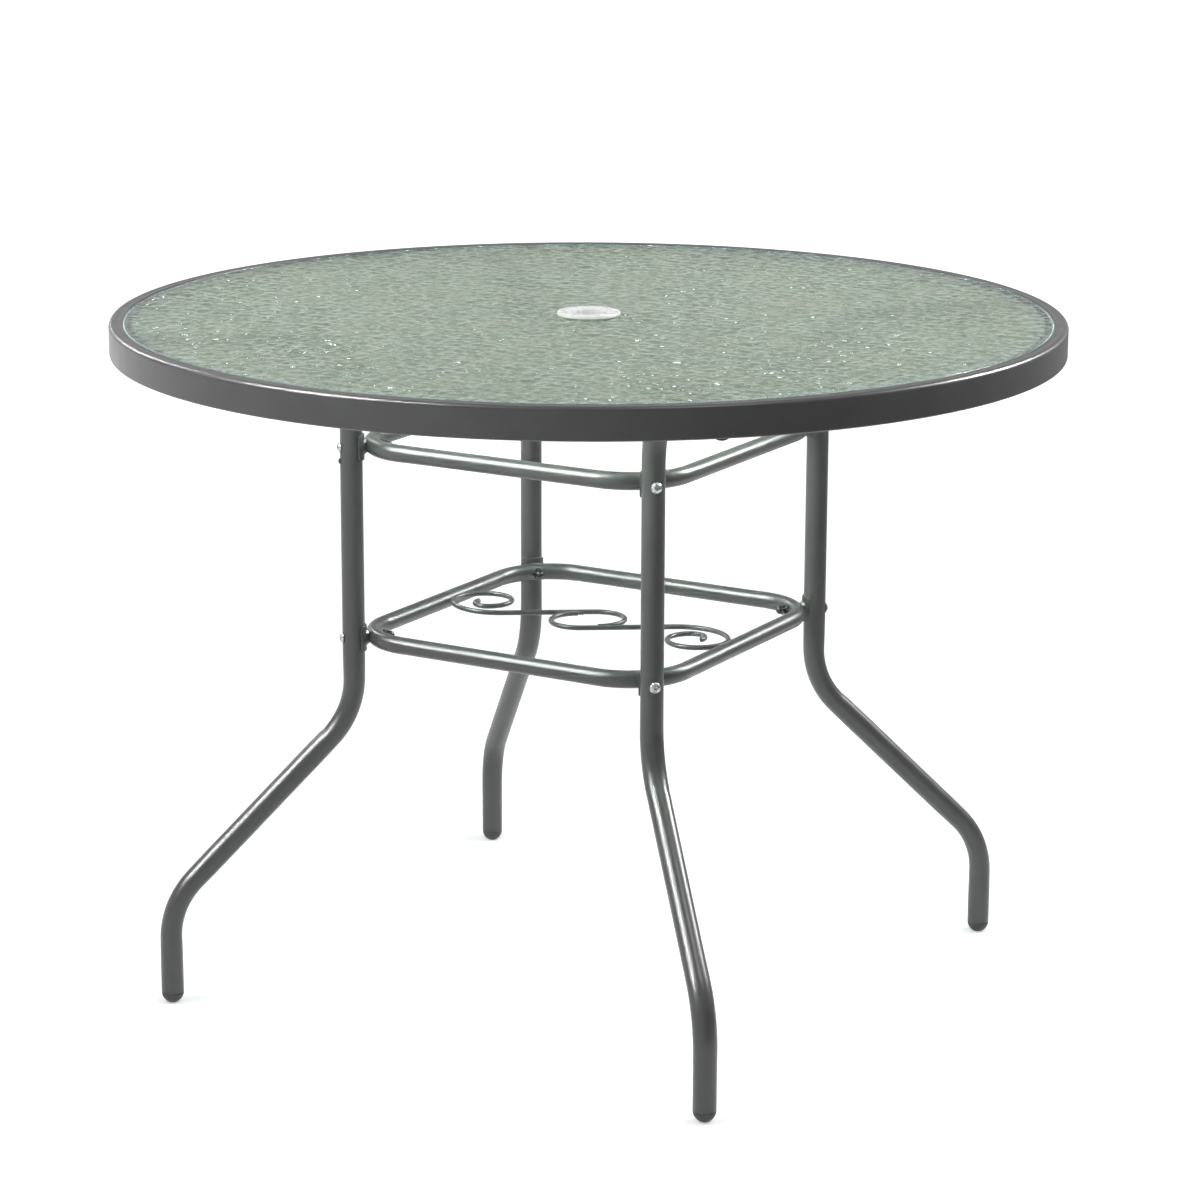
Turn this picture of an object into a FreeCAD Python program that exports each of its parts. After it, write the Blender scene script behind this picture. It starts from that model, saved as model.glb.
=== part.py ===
import FreeCAD, Part
import math
import os

# Round umbrella table: a glass top held in a rolled steel ring, on four bent tube legs
# that are bolted to two square tube frames. All sizes are millimetres, +Z is up, and the
# origin is on the floor under the middle of the top. X runs along the wire scrolls, and
# the legs stand on the diagonals.

V = FreeCAD.Vector
UP = V(0, 0, 1)
ORIGIN = V(0, 0, 0)

# Ring that carries the glass
TOP_DIAMETER = 1066.8
TABLE_HEIGHT = 772.0
RING_DEPTH = 35.0
RING_LEDGE = 16.0
RING_SHEET = 1.2
RING_CORNER = 4.5
RING_INNER_CORNER = 1.8
RING_HEM_RADIUS = 2.2
RING_HEM_RETURN = 4.0
RING_SHELF = 11.5
RING_LIP = 3.5
RING_RUNS = 8

# Glass, its strip and the umbrella ring
GLASS_THICKNESS = 5.0
GLASS_BELOW_RING = 0.4
GLASS_GAP = 1.5
GLASS_HOLE_RADIUS = 25.4
GLASS_CHAMFER = 0.6
STRIP_BASE = 1.2
STRIP_WALL = 0.9
STRIP_WIDTH = 9.0
STRIP_TOP_GAP = 1.2
POLE_BORE_RADIUS = 19.5
SLEEVE_CLEARANCE = 0.3
SLEEVE_LENGTH = 20.0
SLEEVE_TAPER = 1.5
FLANGE_RADIUS = 35.5
FLANGE_THICKNESS = 3.5
FLANGE_ROUND = 1.5

# Leg tube
LEG_TUBE_RADIUS = 12.7
LEG_WALL = 1.2
LEG_AZIMUTHS = {"front": -45.0, "right": 45.0, "back": 135.0, "left": -135.0}
LEG_RADIUS = 272.3
FOOT_RADIUS = 487.0
LOW_KNEE_HEIGHT = 116.0
HIGH_KNEE_HEIGHT = 328.5
KNEE_BEND_RADIUS = 95.0
ARM_HEIGHT = 745.5
ARM_BEND_RADIUS = 90.0
ARM_END_RADIUS = 522.0

# Foot cap
FOOT_DOME = 12.7
FOOT_FLAT_RADIUS = 4.5
FOOT_PLUG_CLEARANCE = 0.1
FOOT_PLUG_LENGTH = 18.0
FOOT_PLUG_CHAMFER = 1.5

# Square frames
FRAME_TUBE_RADIUS = 9.525
FRAME_WALL = 1.2
FRAME_BEND_RADIUS = 70.0
FRAME_HEIGHTS = {"upper": 634.0, "lower": 415.0}

# Saddles between the frames and the legs
SADDLE_SHEET = 2.2
SADDLE_HEIGHT = 29.4
SADDLE_HALF_WRAP = 66.0
SADDLE_CORNER = 5.0
WELD_INNER_REACH = 4.0
WELD_OUTER_REACH = 2.6
WELD_NARROW_RADIUS = 6.5
WELD_WIDE_RADIUS = 9.5

# Bolts, washers and nuts
BOLT_RADIUS = 3.0
BOLT_HOLE_RADIUS = 3.3
FRAME_BOLT_LENGTH = 55.0
BOLT_HEAD_RADIUS = 6.2
BOLT_HEAD_HEIGHT = 3.4
BOLT_SOCKET_FLATS = 4.0
BOLT_SOCKET_DEPTH = 1.8
WASHER_RADIUS = 7.0
WASHER_THICKNESS = 1.4
HEX_CORNERS = 6
NUT_FLATS = 10.0
NUT_BORE_RADIUS = 3.05
CAP_NUT_HEX_HEIGHT = 5.0
CAP_NUT_HEIGHT = 11.0
CAP_NUT_DOME_RADIUS = 4.75
CAP_NUT_BORE_DEPTH = 8.5
WELD_NUT_HEIGHT = 4.0

# Plug in the spare hole of the left leg
HOLE_PLUG_DROP = 15.6
HOLE_PLUG_HOLE_RADIUS = 2.6
HOLE_PLUG_STEM_RADIUS = 2.5
HOLE_PLUG_STEM_LENGTH = 5.0
HOLE_PLUG_HEAD_RADIUS = 3.6
HOLE_PLUG_HEAD_HEIGHT = 2.0

# Brackets between the arms and the ring
BRACKET_SHEET = 2.5
BRACKET_WIDTH = 24.0
BRACKET_DROP = 17.0
BRACKET_INNER_END = 474.0
BRACKET_BOLT_RADIUS = 488.0
BRACKET_BEND_RADIUS = 3.5
RING_BOLT_LENGTH = 31.0

# Wire scrolls
WIRE_RADIUS = 2.9
WIRE_RISE = 3.0
SCROLL_TILT = 33.5
HOOK_RADIUS = 33.0
HOOK_START = 9.5
SCROLL_RADII = (56.0, 36.0, 33.0, 28.0, 15.5)
SCROLL_LAST_TURN = 140.0
SCROLL_QUARTER = 90.0
WIRE_WELD_OVERLAP = 0.15

# Levels and radii that follow from the sizes above
RING_RADIUS = TOP_DIAMETER / 2
RING_BOTTOM = TABLE_HEIGHT - RING_DEPTH
RING_STEP_RADIUS = RING_RADIUS - RING_LEDGE
GLASS_TOP = TABLE_HEIGHT - GLASS_BELOW_RING
GLASS_BOTTOM = GLASS_TOP - GLASS_THICKNESS
GLASS_RADIUS = RING_STEP_RADIUS - GLASS_GAP
SHELF_TOP = GLASS_BOTTOM - STRIP_BASE
SADDLE_FACE_RADIUS = LEG_RADIUS - LEG_TUBE_RADIUS - SADDLE_SHEET
FRAME_CORNER_RADIUS = SADDLE_FACE_RADIUS - FRAME_TUBE_RADIUS
FRAME_HALF = (FRAME_CORNER_RADIUS + (math.sqrt(2) - 1) * FRAME_BEND_RADIUS) / math.sqrt(2)
BEND_HOLLOW = WASHER_RADIUS ** 2 / (2 * (FRAME_BEND_RADIUS - FRAME_TUBE_RADIUS))
NUT_FACE_RADIUS = FRAME_CORNER_RADIUS - FRAME_TUBE_RADIUS - BEND_HOLLOW
BRACKET_TOP = ARM_HEIGHT + LEG_TUBE_RADIUS + BRACKET_SHEET


def save(name, shape):
    """Write one node's solids to its file."""
    shape.exportStep(os.path.join("parts", name + ".step"))


def turned(shape, azimuth):
    """Return a copy of a shape turned about the table's axis, in degrees."""
    copy = shape.copy()
    copy.rotate(ORIGIN, UP, azimuth)
    return copy


def group(shapes):
    """Gather separate solids in one shape."""
    return Part.makeCompound(shapes)


def ring_of(points, runs=1):
    """Spin a closed outline of (radius, height) points and arcs about the axis, in equal runs."""
    edges = []
    for start, end in zip(points, points[1:] + points[:1]):
        first = V(start[0], 0, start[1])
        last = V(end[0], 0, end[1])
        if len(start) == 4:
            middle = V(start[2], 0, start[3])
            edges.append(Part.Arc(first, middle, last).toShape())
        else:
            edges.append(Part.LineSegment(first, last).toShape())
    turn = 360 / runs
    run = Part.Face(Part.Wire(edges)).revolve(ORIGIN, UP, turn)
    if runs == 1:
        return run
    return run.multiFuse([turned(run, index * turn) for index in range(1, runs)]).Solids[0]


def arc_from(start, centre, radius, middle_angle):
    """Make an outline point whose run to the next point is an arc about a centre."""
    angle = math.radians(middle_angle)
    return start + (centre[0] + radius * math.cos(angle), centre[1] + radius * math.sin(angle))


def bent_path(points, radius_list):
    """Join straight runs through the points by tangent arcs of the given radii."""
    edges = []
    here = points[0]
    for before, corner, after, radius in zip(points, points[1:], points[2:], radius_list):
        into = (corner - before).normalize()
        out = (after - corner).normalize()
        turn = into.getAngle(out)
        setback = radius * math.tan(turn / 2)
        start = corner - into * setback
        end = corner + out * setback
        towards_centre = (out - into).normalize()
        centre = corner + towards_centre * (radius / math.cos(turn / 2))
        middle = centre - towards_centre * radius
        edges.append(Part.LineSegment(here, start).toShape())
        edges.append(Part.Arc(start, middle, end).toShape())
        here = end
    edges.append(Part.LineSegment(here, points[-1]).toShape())
    return Part.Wire(edges)


def rod(path, radius):
    """Sweep a round section along a path."""
    edge = path.OrderedEdges[0]
    start = edge.valueAt(edge.FirstParameter)
    tangent = edge.tangentAt(edge.FirstParameter)
    section = Part.Wire(Part.makeCircle(radius, start, tangent))
    return path.makePipeShell([section], True, False)


def tube(path, radius, wall):
    """Sweep a round tube along a path."""
    return rod(path, radius).cut(rod(path, radius - wall))


def radial_cylinder(radius, start, end, height):
    """Make a cylinder that lies along +X between two distances from the table's axis."""
    return Part.makeCylinder(radius, end - start, V(start, 0, height), V(1, 0, 0))


def hex_prism(flats, height):
    """Make a hexagonal prism on the XY plane."""
    corner_radius = flats / math.sqrt(3)
    corners = []
    for index in range(HEX_CORNERS + 1):
        angle = 2 * math.pi * index / HEX_CORNERS
        corners.append(V(corner_radius * math.cos(angle), corner_radius * math.sin(angle), 0))
    return Part.Face(Part.makePolygon(corners)).extrude(V(0, 0, height))


def table_ring():
    """Rolled sheet ring: hemmed face, rounded top edge, ledge, and shelf for the glass."""
    sheet = RING_SHEET
    corner = (RING_RADIUS - RING_CORNER, TABLE_HEIGHT - RING_CORNER)
    corner_inside = RING_CORNER - sheet
    hem = (RING_RADIUS - RING_HEM_RADIUS, RING_BOTTOM + RING_HEM_RADIUS)
    hem_inside = RING_HEM_RADIUS - sheet
    hem_top = hem[1] + RING_HEM_RETURN
    step_corner = (RING_STEP_RADIUS + RING_INNER_CORNER, TABLE_HEIGHT - RING_INNER_CORNER)
    shelf_edge = RING_STEP_RADIUS - RING_SHELF
    lip_bottom = SHELF_TOP - RING_LIP
    outline = [
        (RING_RADIUS - 2 * RING_HEM_RADIUS, hem_top),
        arc_from((RING_RADIUS - 2 * RING_HEM_RADIUS, hem[1]), hem, RING_HEM_RADIUS, -90),
        (RING_RADIUS, hem[1]),
        arc_from((RING_RADIUS, corner[1]), corner, RING_CORNER, 45),
        (corner[0], TABLE_HEIGHT),
        arc_from((step_corner[0], TABLE_HEIGHT), step_corner, RING_INNER_CORNER, 135),
        (RING_STEP_RADIUS, step_corner[1]),
        (RING_STEP_RADIUS, SHELF_TOP),
        (shelf_edge, SHELF_TOP),
        (shelf_edge, lip_bottom),
        (shelf_edge + sheet, lip_bottom),
        (shelf_edge + sheet, SHELF_TOP - sheet),
        (RING_STEP_RADIUS + sheet, SHELF_TOP - sheet),
        (RING_STEP_RADIUS + sheet, TABLE_HEIGHT - sheet),
        arc_from((corner[0], TABLE_HEIGHT - sheet), corner, corner_inside, 45),
        (RING_RADIUS - sheet, corner[1]),
        arc_from((RING_RADIUS - sheet, hem[1]), hem, hem_inside, -90),
        (RING_RADIUS - 2 * RING_HEM_RADIUS + sheet, hem[1]),
        (RING_RADIUS - 2 * RING_HEM_RADIUS + sheet, hem_top),
    ]
    return ring_of(outline, RING_RUNS)


def glass_strip():
    """Soft strip with an L section that lies on the shelf and stands round the glass."""
    outer = RING_STEP_RADIUS
    inner = outer - STRIP_WIDTH
    top = GLASS_TOP - STRIP_TOP_GAP
    return ring_of([
        (inner, SHELF_TOP),
        (outer, SHELF_TOP),
        (outer, top),
        (outer - STRIP_WALL, top),
        (outer - STRIP_WALL, SHELF_TOP + STRIP_BASE),
        (inner, SHELF_TOP + STRIP_BASE),
    ])


def glass_top():
    """Glass disc with ground edges and a hole for the umbrella ring."""
    cut = GLASS_CHAMFER
    return ring_of([
        (GLASS_HOLE_RADIUS, GLASS_BOTTOM + cut),
        (GLASS_HOLE_RADIUS + cut, GLASS_BOTTOM),
        (GLASS_RADIUS - cut, GLASS_BOTTOM),
        (GLASS_RADIUS, GLASS_BOTTOM + cut),
        (GLASS_RADIUS, GLASS_TOP - cut),
        (GLASS_RADIUS - cut, GLASS_TOP),
        (GLASS_HOLE_RADIUS + cut, GLASS_TOP),
        (GLASS_HOLE_RADIUS, GLASS_TOP - cut),
    ])


def umbrella_ring():
    """Flanged sleeve that drops into the glass and centres the umbrella pole."""
    sleeve = GLASS_HOLE_RADIUS - SLEEVE_CLEARANCE
    bottom = GLASS_TOP - SLEEVE_LENGTH
    top = GLASS_TOP + FLANGE_THICKNESS
    rounding = (FLANGE_RADIUS - FLANGE_ROUND, top - FLANGE_ROUND)
    return ring_of([
        (POLE_BORE_RADIUS, bottom),
        (sleeve - SLEEVE_TAPER, bottom),
        (sleeve, bottom + 2 * SLEEVE_TAPER),
        (sleeve, GLASS_TOP),
        (FLANGE_RADIUS, GLASS_TOP),
        arc_from((FLANGE_RADIUS, rounding[1]), rounding, FLANGE_ROUND, 45),
        (rounding[0], top),
        (POLE_BORE_RADIUS, top),
    ])


def leg(name):
    """Bent leg tube: foot, sloping run, upright, and an arm that runs out under the glass."""
    path = bent_path(
        [
            V(FOOT_RADIUS, 0, FOOT_DOME),
            V(FOOT_RADIUS, 0, LOW_KNEE_HEIGHT),
            V(LEG_RADIUS, 0, HIGH_KNEE_HEIGHT),
            V(LEG_RADIUS, 0, ARM_HEIGHT),
            V(ARM_END_RADIUS, 0, ARM_HEIGHT),
        ],
        [KNEE_BEND_RADIUS, KNEE_BEND_RADIUS, ARM_BEND_RADIUS],
    )
    shape = tube(path, LEG_TUBE_RADIUS, LEG_WALL)
    reach = 2 * LEG_TUBE_RADIUS
    for height in FRAME_HEIGHTS.values():
        hole = radial_cylinder(BOLT_HOLE_RADIUS, LEG_RADIUS - reach, LEG_RADIUS + reach, height)
        shape = shape.cut(hole)
    arm_hole = V(BRACKET_BOLT_RADIUS, 0, ARM_HEIGHT - reach)
    shape = shape.cut(Part.makeCylinder(BOLT_HOLE_RADIUS, 2 * reach, arm_hole, UP))
    if name == "left":
        height = FRAME_HEIGHTS["upper"] - HOLE_PLUG_DROP
        spare_hole = radial_cylinder(HOLE_PLUG_HOLE_RADIUS, LEG_RADIUS, LEG_RADIUS + reach, height)
        shape = shape.cut(spare_hole)
    return shape


def foot_cap():
    """Domed plastic cap, flat where it stands, with a plug that sits in the tube."""
    rise = FOOT_DOME
    inset = LEG_TUBE_RADIUS - FOOT_FLAT_RADIUS
    dome_radius = (inset ** 2 + rise ** 2) / (2 * inset)
    centre = (LEG_TUBE_RADIUS - dome_radius, rise)
    half_angle = -math.degrees(math.asin(rise / dome_radius)) / 2
    plug = LEG_TUBE_RADIUS - LEG_WALL - FOOT_PLUG_CLEARANCE
    plug_top = rise + FOOT_PLUG_LENGTH
    shape = ring_of([
        (0.0, 0.0),
        arc_from((FOOT_FLAT_RADIUS, 0.0), centre, dome_radius, half_angle),
        (LEG_TUBE_RADIUS, rise),
        (plug, rise),
        (plug, plug_top - FOOT_PLUG_CHAMFER),
        (plug - FOOT_PLUG_CHAMFER, plug_top),
        (0.0, plug_top),
    ])
    shape.translate(V(FOOT_RADIUS, 0, 0))
    return shape


def frame_path(height):
    """Closed square path with rounded corners, its corners on the diagonals."""
    side = FRAME_HALF
    middle = V(0, -side, height)
    corners = []
    for azimuth in LEG_AZIMUTHS.values():
        diagonal = FreeCAD.Rotation(UP, azimuth).multVec(V(math.sqrt(2) * side, 0, 0))
        corners.append(diagonal + V(0, 0, height))
    return bent_path([middle] + corners + [middle], [FRAME_BEND_RADIUS] * len(corners))


def corner_weld(height):
    """Weld that fills the corner between a frame's bend and its saddle, before the bolt hole."""
    base = V(SADDLE_FACE_RADIUS - WELD_INNER_REACH, 0, height)
    length = WELD_INNER_REACH + WELD_OUTER_REACH
    cone = Part.makeCone(WELD_NARROW_RADIUS, WELD_WIDE_RADIUS, length, base, V(1, 0, 0))
    low = V(LEG_RADIUS, 0, height - SADDLE_HEIGHT / 2)
    return cone.cut(Part.makeCylinder(LEG_TUBE_RADIUS + SADDLE_SHEET, SADDLE_HEIGHT, low, UP))


def square_frame(height):
    """Square tube frame with welds at its corners and a bolt hole through each corner."""
    path = frame_path(height)
    shape = rod(path, FRAME_TUBE_RADIUS)
    for azimuth in LEG_AZIMUTHS.values():
        shape = shape.fuse(turned(corner_weld(height), azimuth))
    shape = shape.cut(rod(path, FRAME_TUBE_RADIUS - FRAME_WALL))
    for azimuth in LEG_AZIMUTHS.values():
        hole = radial_cylinder(BOLT_HOLE_RADIUS, NUT_FACE_RADIUS - LEG_WALL, LEG_RADIUS, height)
        shape = shape.cut(turned(hole, azimuth))
    return shape


def saddle(height):
    """Curved plate with rounded corners that hugs the inner side of a leg."""
    outer = LEG_TUBE_RADIUS + SADDLE_SHEET
    low = V(LEG_RADIUS, 0, height - SADDLE_HEIGHT / 2)
    sleeve = Part.makeCylinder(outer, SADDLE_HEIGHT, low, UP)
    sleeve = sleeve.cut(Part.makeCylinder(LEG_TUBE_RADIUS, SADDLE_HEIGHT, low, UP))
    half_width = outer * math.sin(math.radians(SADDLE_HALF_WRAP))
    start = LEG_RADIUS - outer
    depth = outer * (1 - math.cos(math.radians(SADDLE_HALF_WRAP)))
    window = Part.makeBox(depth, 2 * half_width, SADDLE_HEIGHT, V(start, -half_width, low.z))
    long_edges = []
    for edge in window.Edges:
        along = edge.tangentAt(edge.FirstParameter)
        if abs(along.x) > abs(along.y) + abs(along.z):
            long_edges.append(edge)
    window = window.makeFillet(SADDLE_CORNER, long_edges)
    hole = radial_cylinder(BOLT_HOLE_RADIUS, start - outer, LEG_RADIUS, height)
    return sleeve.common(window).cut(hole)


def domed_bolt(length):
    """Bolt with a domed head and a hex socket: shank down from the XY plane, head above."""
    dome_radius = (BOLT_HEAD_RADIUS ** 2 + BOLT_HEAD_HEIGHT ** 2) / (2 * BOLT_HEAD_HEIGHT)
    centre = (0.0, BOLT_HEAD_HEIGHT - dome_radius)
    edge_angle = math.degrees(math.asin((dome_radius - BOLT_HEAD_HEIGHT) / dome_radius))
    shape = ring_of([
        (0.0, -length),
        (BOLT_RADIUS, -length),
        (BOLT_RADIUS, 0.0),
        arc_from((BOLT_HEAD_RADIUS, 0.0), centre, dome_radius, (90 + edge_angle) / 2),
        (0.0, BOLT_HEAD_HEIGHT),
    ])
    socket = hex_prism(BOLT_SOCKET_FLATS, BOLT_SOCKET_DEPTH)
    socket.translate(V(0, 0, BOLT_HEAD_HEIGHT - BOLT_SOCKET_DEPTH))
    return shape.cut(socket)


def laid_outwards(shape, radius, height):
    """Lay a shape made along +Z so that it points out along +X, at a radius and height."""
    copy = shape.copy()
    copy.rotate(ORIGIN, V(0, 1, 0), 90)
    copy.translate(V(radius, 0, height))
    return copy


def frame_bolt(height):
    """Bolt that passes through the leg, the saddle and the frame's corner."""
    return laid_outwards(domed_bolt(FRAME_BOLT_LENGTH), LEG_RADIUS + LEG_TUBE_RADIUS, height)


def frame_washer(height):
    """Washer between the frame's corner and its nut."""
    disc = Part.makeCylinder(WASHER_RADIUS, WASHER_THICKNESS)
    disc = disc.cut(Part.makeCylinder(BOLT_HOLE_RADIUS, WASHER_THICKNESS))
    return laid_outwards(disc, NUT_FACE_RADIUS - WASHER_THICKNESS, height)


def cap_nut(height):
    """Closed cap nut on the inner end of a frame bolt."""
    hexagon = hex_prism(NUT_FLATS, CAP_NUT_HEX_HEIGHT)
    dome_base = CAP_NUT_HEIGHT - CAP_NUT_DOME_RADIUS
    stem = Part.makeCylinder(CAP_NUT_DOME_RADIUS, dome_base)
    dome = Part.makeSphere(CAP_NUT_DOME_RADIUS, V(0, 0, dome_base))
    shape = hexagon.fuse(stem).fuse(dome)
    shape = shape.common(Part.makeCylinder(NUT_FLATS, CAP_NUT_HEIGHT))
    shape = shape.cut(Part.makeCylinder(NUT_BORE_RADIUS, CAP_NUT_BORE_DEPTH))
    shape.rotate(ORIGIN, V(1, 0, 0), 180)
    return laid_outwards(shape, NUT_FACE_RADIUS - WASHER_THICKNESS, height)


def hole_plug():
    """Small plastic plug in the spare hole below the left leg's upper bolt."""
    stem_end = V(0, 0, -HOLE_PLUG_STEM_LENGTH)
    stem = Part.makeCylinder(HOLE_PLUG_STEM_RADIUS, HOLE_PLUG_STEM_LENGTH, stem_end, UP)
    rise = HOLE_PLUG_HEAD_HEIGHT
    dome_radius = (HOLE_PLUG_HEAD_RADIUS ** 2 + rise ** 2) / (2 * rise)
    ball = Part.makeSphere(dome_radius, V(0, 0, rise - dome_radius))
    head = ball.common(Part.makeCylinder(dome_radius, dome_radius))
    height = FRAME_HEIGHTS["upper"] - HOLE_PLUG_DROP
    return laid_outwards(stem.fuse(head), LEG_RADIUS + LEG_TUBE_RADIUS, height)


def ring_bracket():
    """Angle bracket on the ring's inner wall, with a tongue that lies on the arm."""
    wall = math.sqrt((RING_RADIUS - RING_SHEET) ** 2 - (BRACKET_WIDTH / 2) ** 2)
    top = BRACKET_TOP
    bottom = top - BRACKET_DROP
    inner_bend = BRACKET_BEND_RADIUS - BRACKET_SHEET
    centre = V(wall - BRACKET_BEND_RADIUS, 0, top - BRACKET_BEND_RADIUS)
    slope = V(math.sqrt(0.5), 0, math.sqrt(0.5))
    outside = [
        V(BRACKET_INNER_END, 0, top),
        V(centre.x, 0, top),
        V(wall, 0, centre.z),
        V(wall, 0, bottom),
    ]
    inside = [
        V(wall - BRACKET_SHEET, 0, bottom),
        V(wall - BRACKET_SHEET, 0, centre.z),
        V(centre.x, 0, top - BRACKET_SHEET),
        V(BRACKET_INNER_END, 0, top - BRACKET_SHEET),
    ]
    edges = [
        Part.LineSegment(outside[0], outside[1]).toShape(),
        Part.Arc(outside[1], centre + slope * BRACKET_BEND_RADIUS, outside[2]).toShape(),
        Part.LineSegment(outside[2], outside[3]).toShape(),
        Part.LineSegment(outside[3], inside[0]).toShape(),
        Part.LineSegment(inside[0], inside[1]).toShape(),
        Part.Arc(inside[1], centre + slope * inner_bend, inside[2]).toShape(),
        Part.LineSegment(inside[2], inside[3]).toShape(),
        Part.LineSegment(inside[3], outside[0]).toShape(),
    ]
    plate = Part.Face(Part.Wire(edges)).extrude(V(0, BRACKET_WIDTH, 0))
    plate.translate(V(0, -BRACKET_WIDTH / 2, 0))
    end_radius = BRACKET_WIDTH / 2
    end_centre = V(BRACKET_INNER_END + end_radius, 0, bottom)
    keep = Part.makeCylinder(end_radius, BRACKET_DROP, end_centre, UP)
    rest_corner = end_centre - V(0, end_radius, 0)
    rest = Part.makeBox(wall - end_centre.x, BRACKET_WIDTH, BRACKET_DROP, rest_corner)
    hole = Part.makeCylinder(BOLT_HOLE_RADIUS, BRACKET_DROP, V(BRACKET_BOLT_RADIUS, 0, bottom), UP)
    return plate.common(keep.fuse(rest)).cut(hole)


def ring_bolt():
    """Bolt that holds an arm up against its bracket, put in from below."""
    shape = domed_bolt(RING_BOLT_LENGTH)
    shape.rotate(ORIGIN, V(1, 0, 0), 180)
    shape.translate(V(BRACKET_BOLT_RADIUS, 0, ARM_HEIGHT - LEG_TUBE_RADIUS))
    return shape


def weld_nut():
    """Thin hexagon nut welded on top of a bracket's tongue."""
    shape = hex_prism(NUT_FLATS, WELD_NUT_HEIGHT)
    shape = shape.cut(Part.makeCylinder(NUT_BORE_RADIUS, WELD_NUT_HEIGHT))
    shape.translate(V(BRACKET_BOLT_RADIUS, 0, BRACKET_TOP))
    return shape


def turning_arcs(start, heading, radii, turns):
    """Chain arcs that turn to the right, each from the last one's end, in degrees."""
    edges = []
    here = start
    for radius, turn in zip(radii, turns):
        angle = math.radians(heading)
        centre = here + V(math.sin(angle), -math.cos(angle), 0) * radius
        spoke = here - centre
        half = FreeCAD.Rotation(UP, -turn / 2)
        full = FreeCAD.Rotation(UP, -turn)
        end = centre + full.multVec(spoke)
        edges.append(Part.Arc(here, centre + half.multVec(spoke), end).toShape())
        here = end
        heading -= turn
    return edges


def scroll_wire():
    """Left wire: a scroll welded inside the frame, a straight run, and half of the pole loop."""
    tilt = math.radians(SCROLL_TILT)
    along = V(math.cos(tilt), math.sin(tilt), 0)
    aside = V(-math.sin(tilt), math.cos(tilt), 0)
    offset = HOOK_RADIUS + WIRE_RADIUS - WIRE_WELD_OVERLAP / 2
    turns = [SCROLL_QUARTER] * (len(SCROLL_RADII) - 1) + [SCROLL_LAST_TURN]
    height = V(0, 0, FRAME_HEIGHTS["lower"] + WIRE_RISE)
    line_start = aside * offset + height
    scroll = Part.Wire(turning_arcs(line_start, SCROLL_TILT + 180, SCROLL_RADII, turns))
    inner_face = FRAME_HALF - math.sqrt(FRAME_TUBE_RADIUS ** 2 - WIRE_RISE ** 2)
    reach = inner_face - WIRE_RADIUS + WIRE_WELD_OVERLAP
    run = (scroll.BoundBox.XMin + reach) / math.cos(tilt)
    line_end = line_start - along * run
    hook_start = line_start + along * HOOK_START
    edges = [Part.LineSegment(line_end, hook_start).toShape()]
    edges += turning_arcs(hook_start, SCROLL_TILT, [HOOK_RADIUS], [180])
    edges += turning_arcs(line_end, SCROLL_TILT + 180, SCROLL_RADII, turns)
    path = Part.Wire(Part.__sortEdges__(edges))
    return rod(path, WIRE_RADIUS)


os.makedirs("parts", exist_ok=True)

save("table_ring", table_ring())
save("glass_strip", glass_strip())
save("glass_top", glass_top())
save("umbrella_ring", umbrella_ring())

for side, azimuth in LEG_AZIMUTHS.items():
    save("leg_" + side, turned(leg(side), azimuth))
    save("foot_cap_" + side, turned(foot_cap(), azimuth))
    save("ring_bracket_" + side, turned(ring_bracket(), azimuth))

for level, height in FRAME_HEIGHTS.items():
    save(level + "_frame", square_frame(height))
    for side, azimuth in LEG_AZIMUTHS.items():
        save(level + "_saddle_" + side, turned(saddle(height), azimuth))
    for piece, make in (("bolts", frame_bolt), ("washers", frame_washer), ("nuts", cap_nut)):
        save(level + "_frame_" + piece, group([turned(make(height), a) for a in LEG_AZIMUTHS.values()]))

save("ring_bolts", group([turned(ring_bolt(), a) for a in LEG_AZIMUTHS.values()]))
save("ring_nuts", group([turned(weld_nut(), a) for a in LEG_AZIMUTHS.values()]))
save("leg_hole_plug", turned(hole_plug(), LEG_AZIMUTHS["left"]))
save("scroll_wire_left", scroll_wire())
save("scroll_wire_right", turned(scroll_wire(), 180))
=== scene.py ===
"""Umbrella table: a round rippled glass top in a rolled steel ring, on four bent tube legs.

The meshes are drawn in millimetres in the table's own frame, with +Z up and the origin on the
floor under the middle of the top, and are turned into metres when each piece is made.
"""

import logging
import math
from dataclasses import dataclass, field
from enum import Enum
from typing import Callable, Optional, Sequence

import bmesh
import bpy
import numpy as np
from mathutils import Euler, Matrix, Vector, noise


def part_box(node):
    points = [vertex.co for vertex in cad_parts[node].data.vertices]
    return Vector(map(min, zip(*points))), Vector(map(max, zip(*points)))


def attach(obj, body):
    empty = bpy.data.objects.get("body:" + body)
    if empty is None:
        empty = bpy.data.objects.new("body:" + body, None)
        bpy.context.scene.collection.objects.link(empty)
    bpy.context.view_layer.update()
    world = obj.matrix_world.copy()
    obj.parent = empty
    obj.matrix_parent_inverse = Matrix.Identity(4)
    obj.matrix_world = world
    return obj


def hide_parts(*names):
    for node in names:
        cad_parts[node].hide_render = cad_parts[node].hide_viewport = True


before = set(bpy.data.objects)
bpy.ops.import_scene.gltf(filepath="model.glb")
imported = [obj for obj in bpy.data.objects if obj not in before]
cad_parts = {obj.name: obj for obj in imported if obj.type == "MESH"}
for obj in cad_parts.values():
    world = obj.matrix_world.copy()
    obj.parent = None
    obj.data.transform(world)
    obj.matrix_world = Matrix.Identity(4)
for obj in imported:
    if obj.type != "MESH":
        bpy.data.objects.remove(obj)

LOG = logging.getLogger("umbrella_table")
MILLIMETRE = 0.001
WHOLE_TURN = 360.0
HALF_TURN = 180.0
UP = np.array([0.0, 0.0, 1.0])

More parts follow.
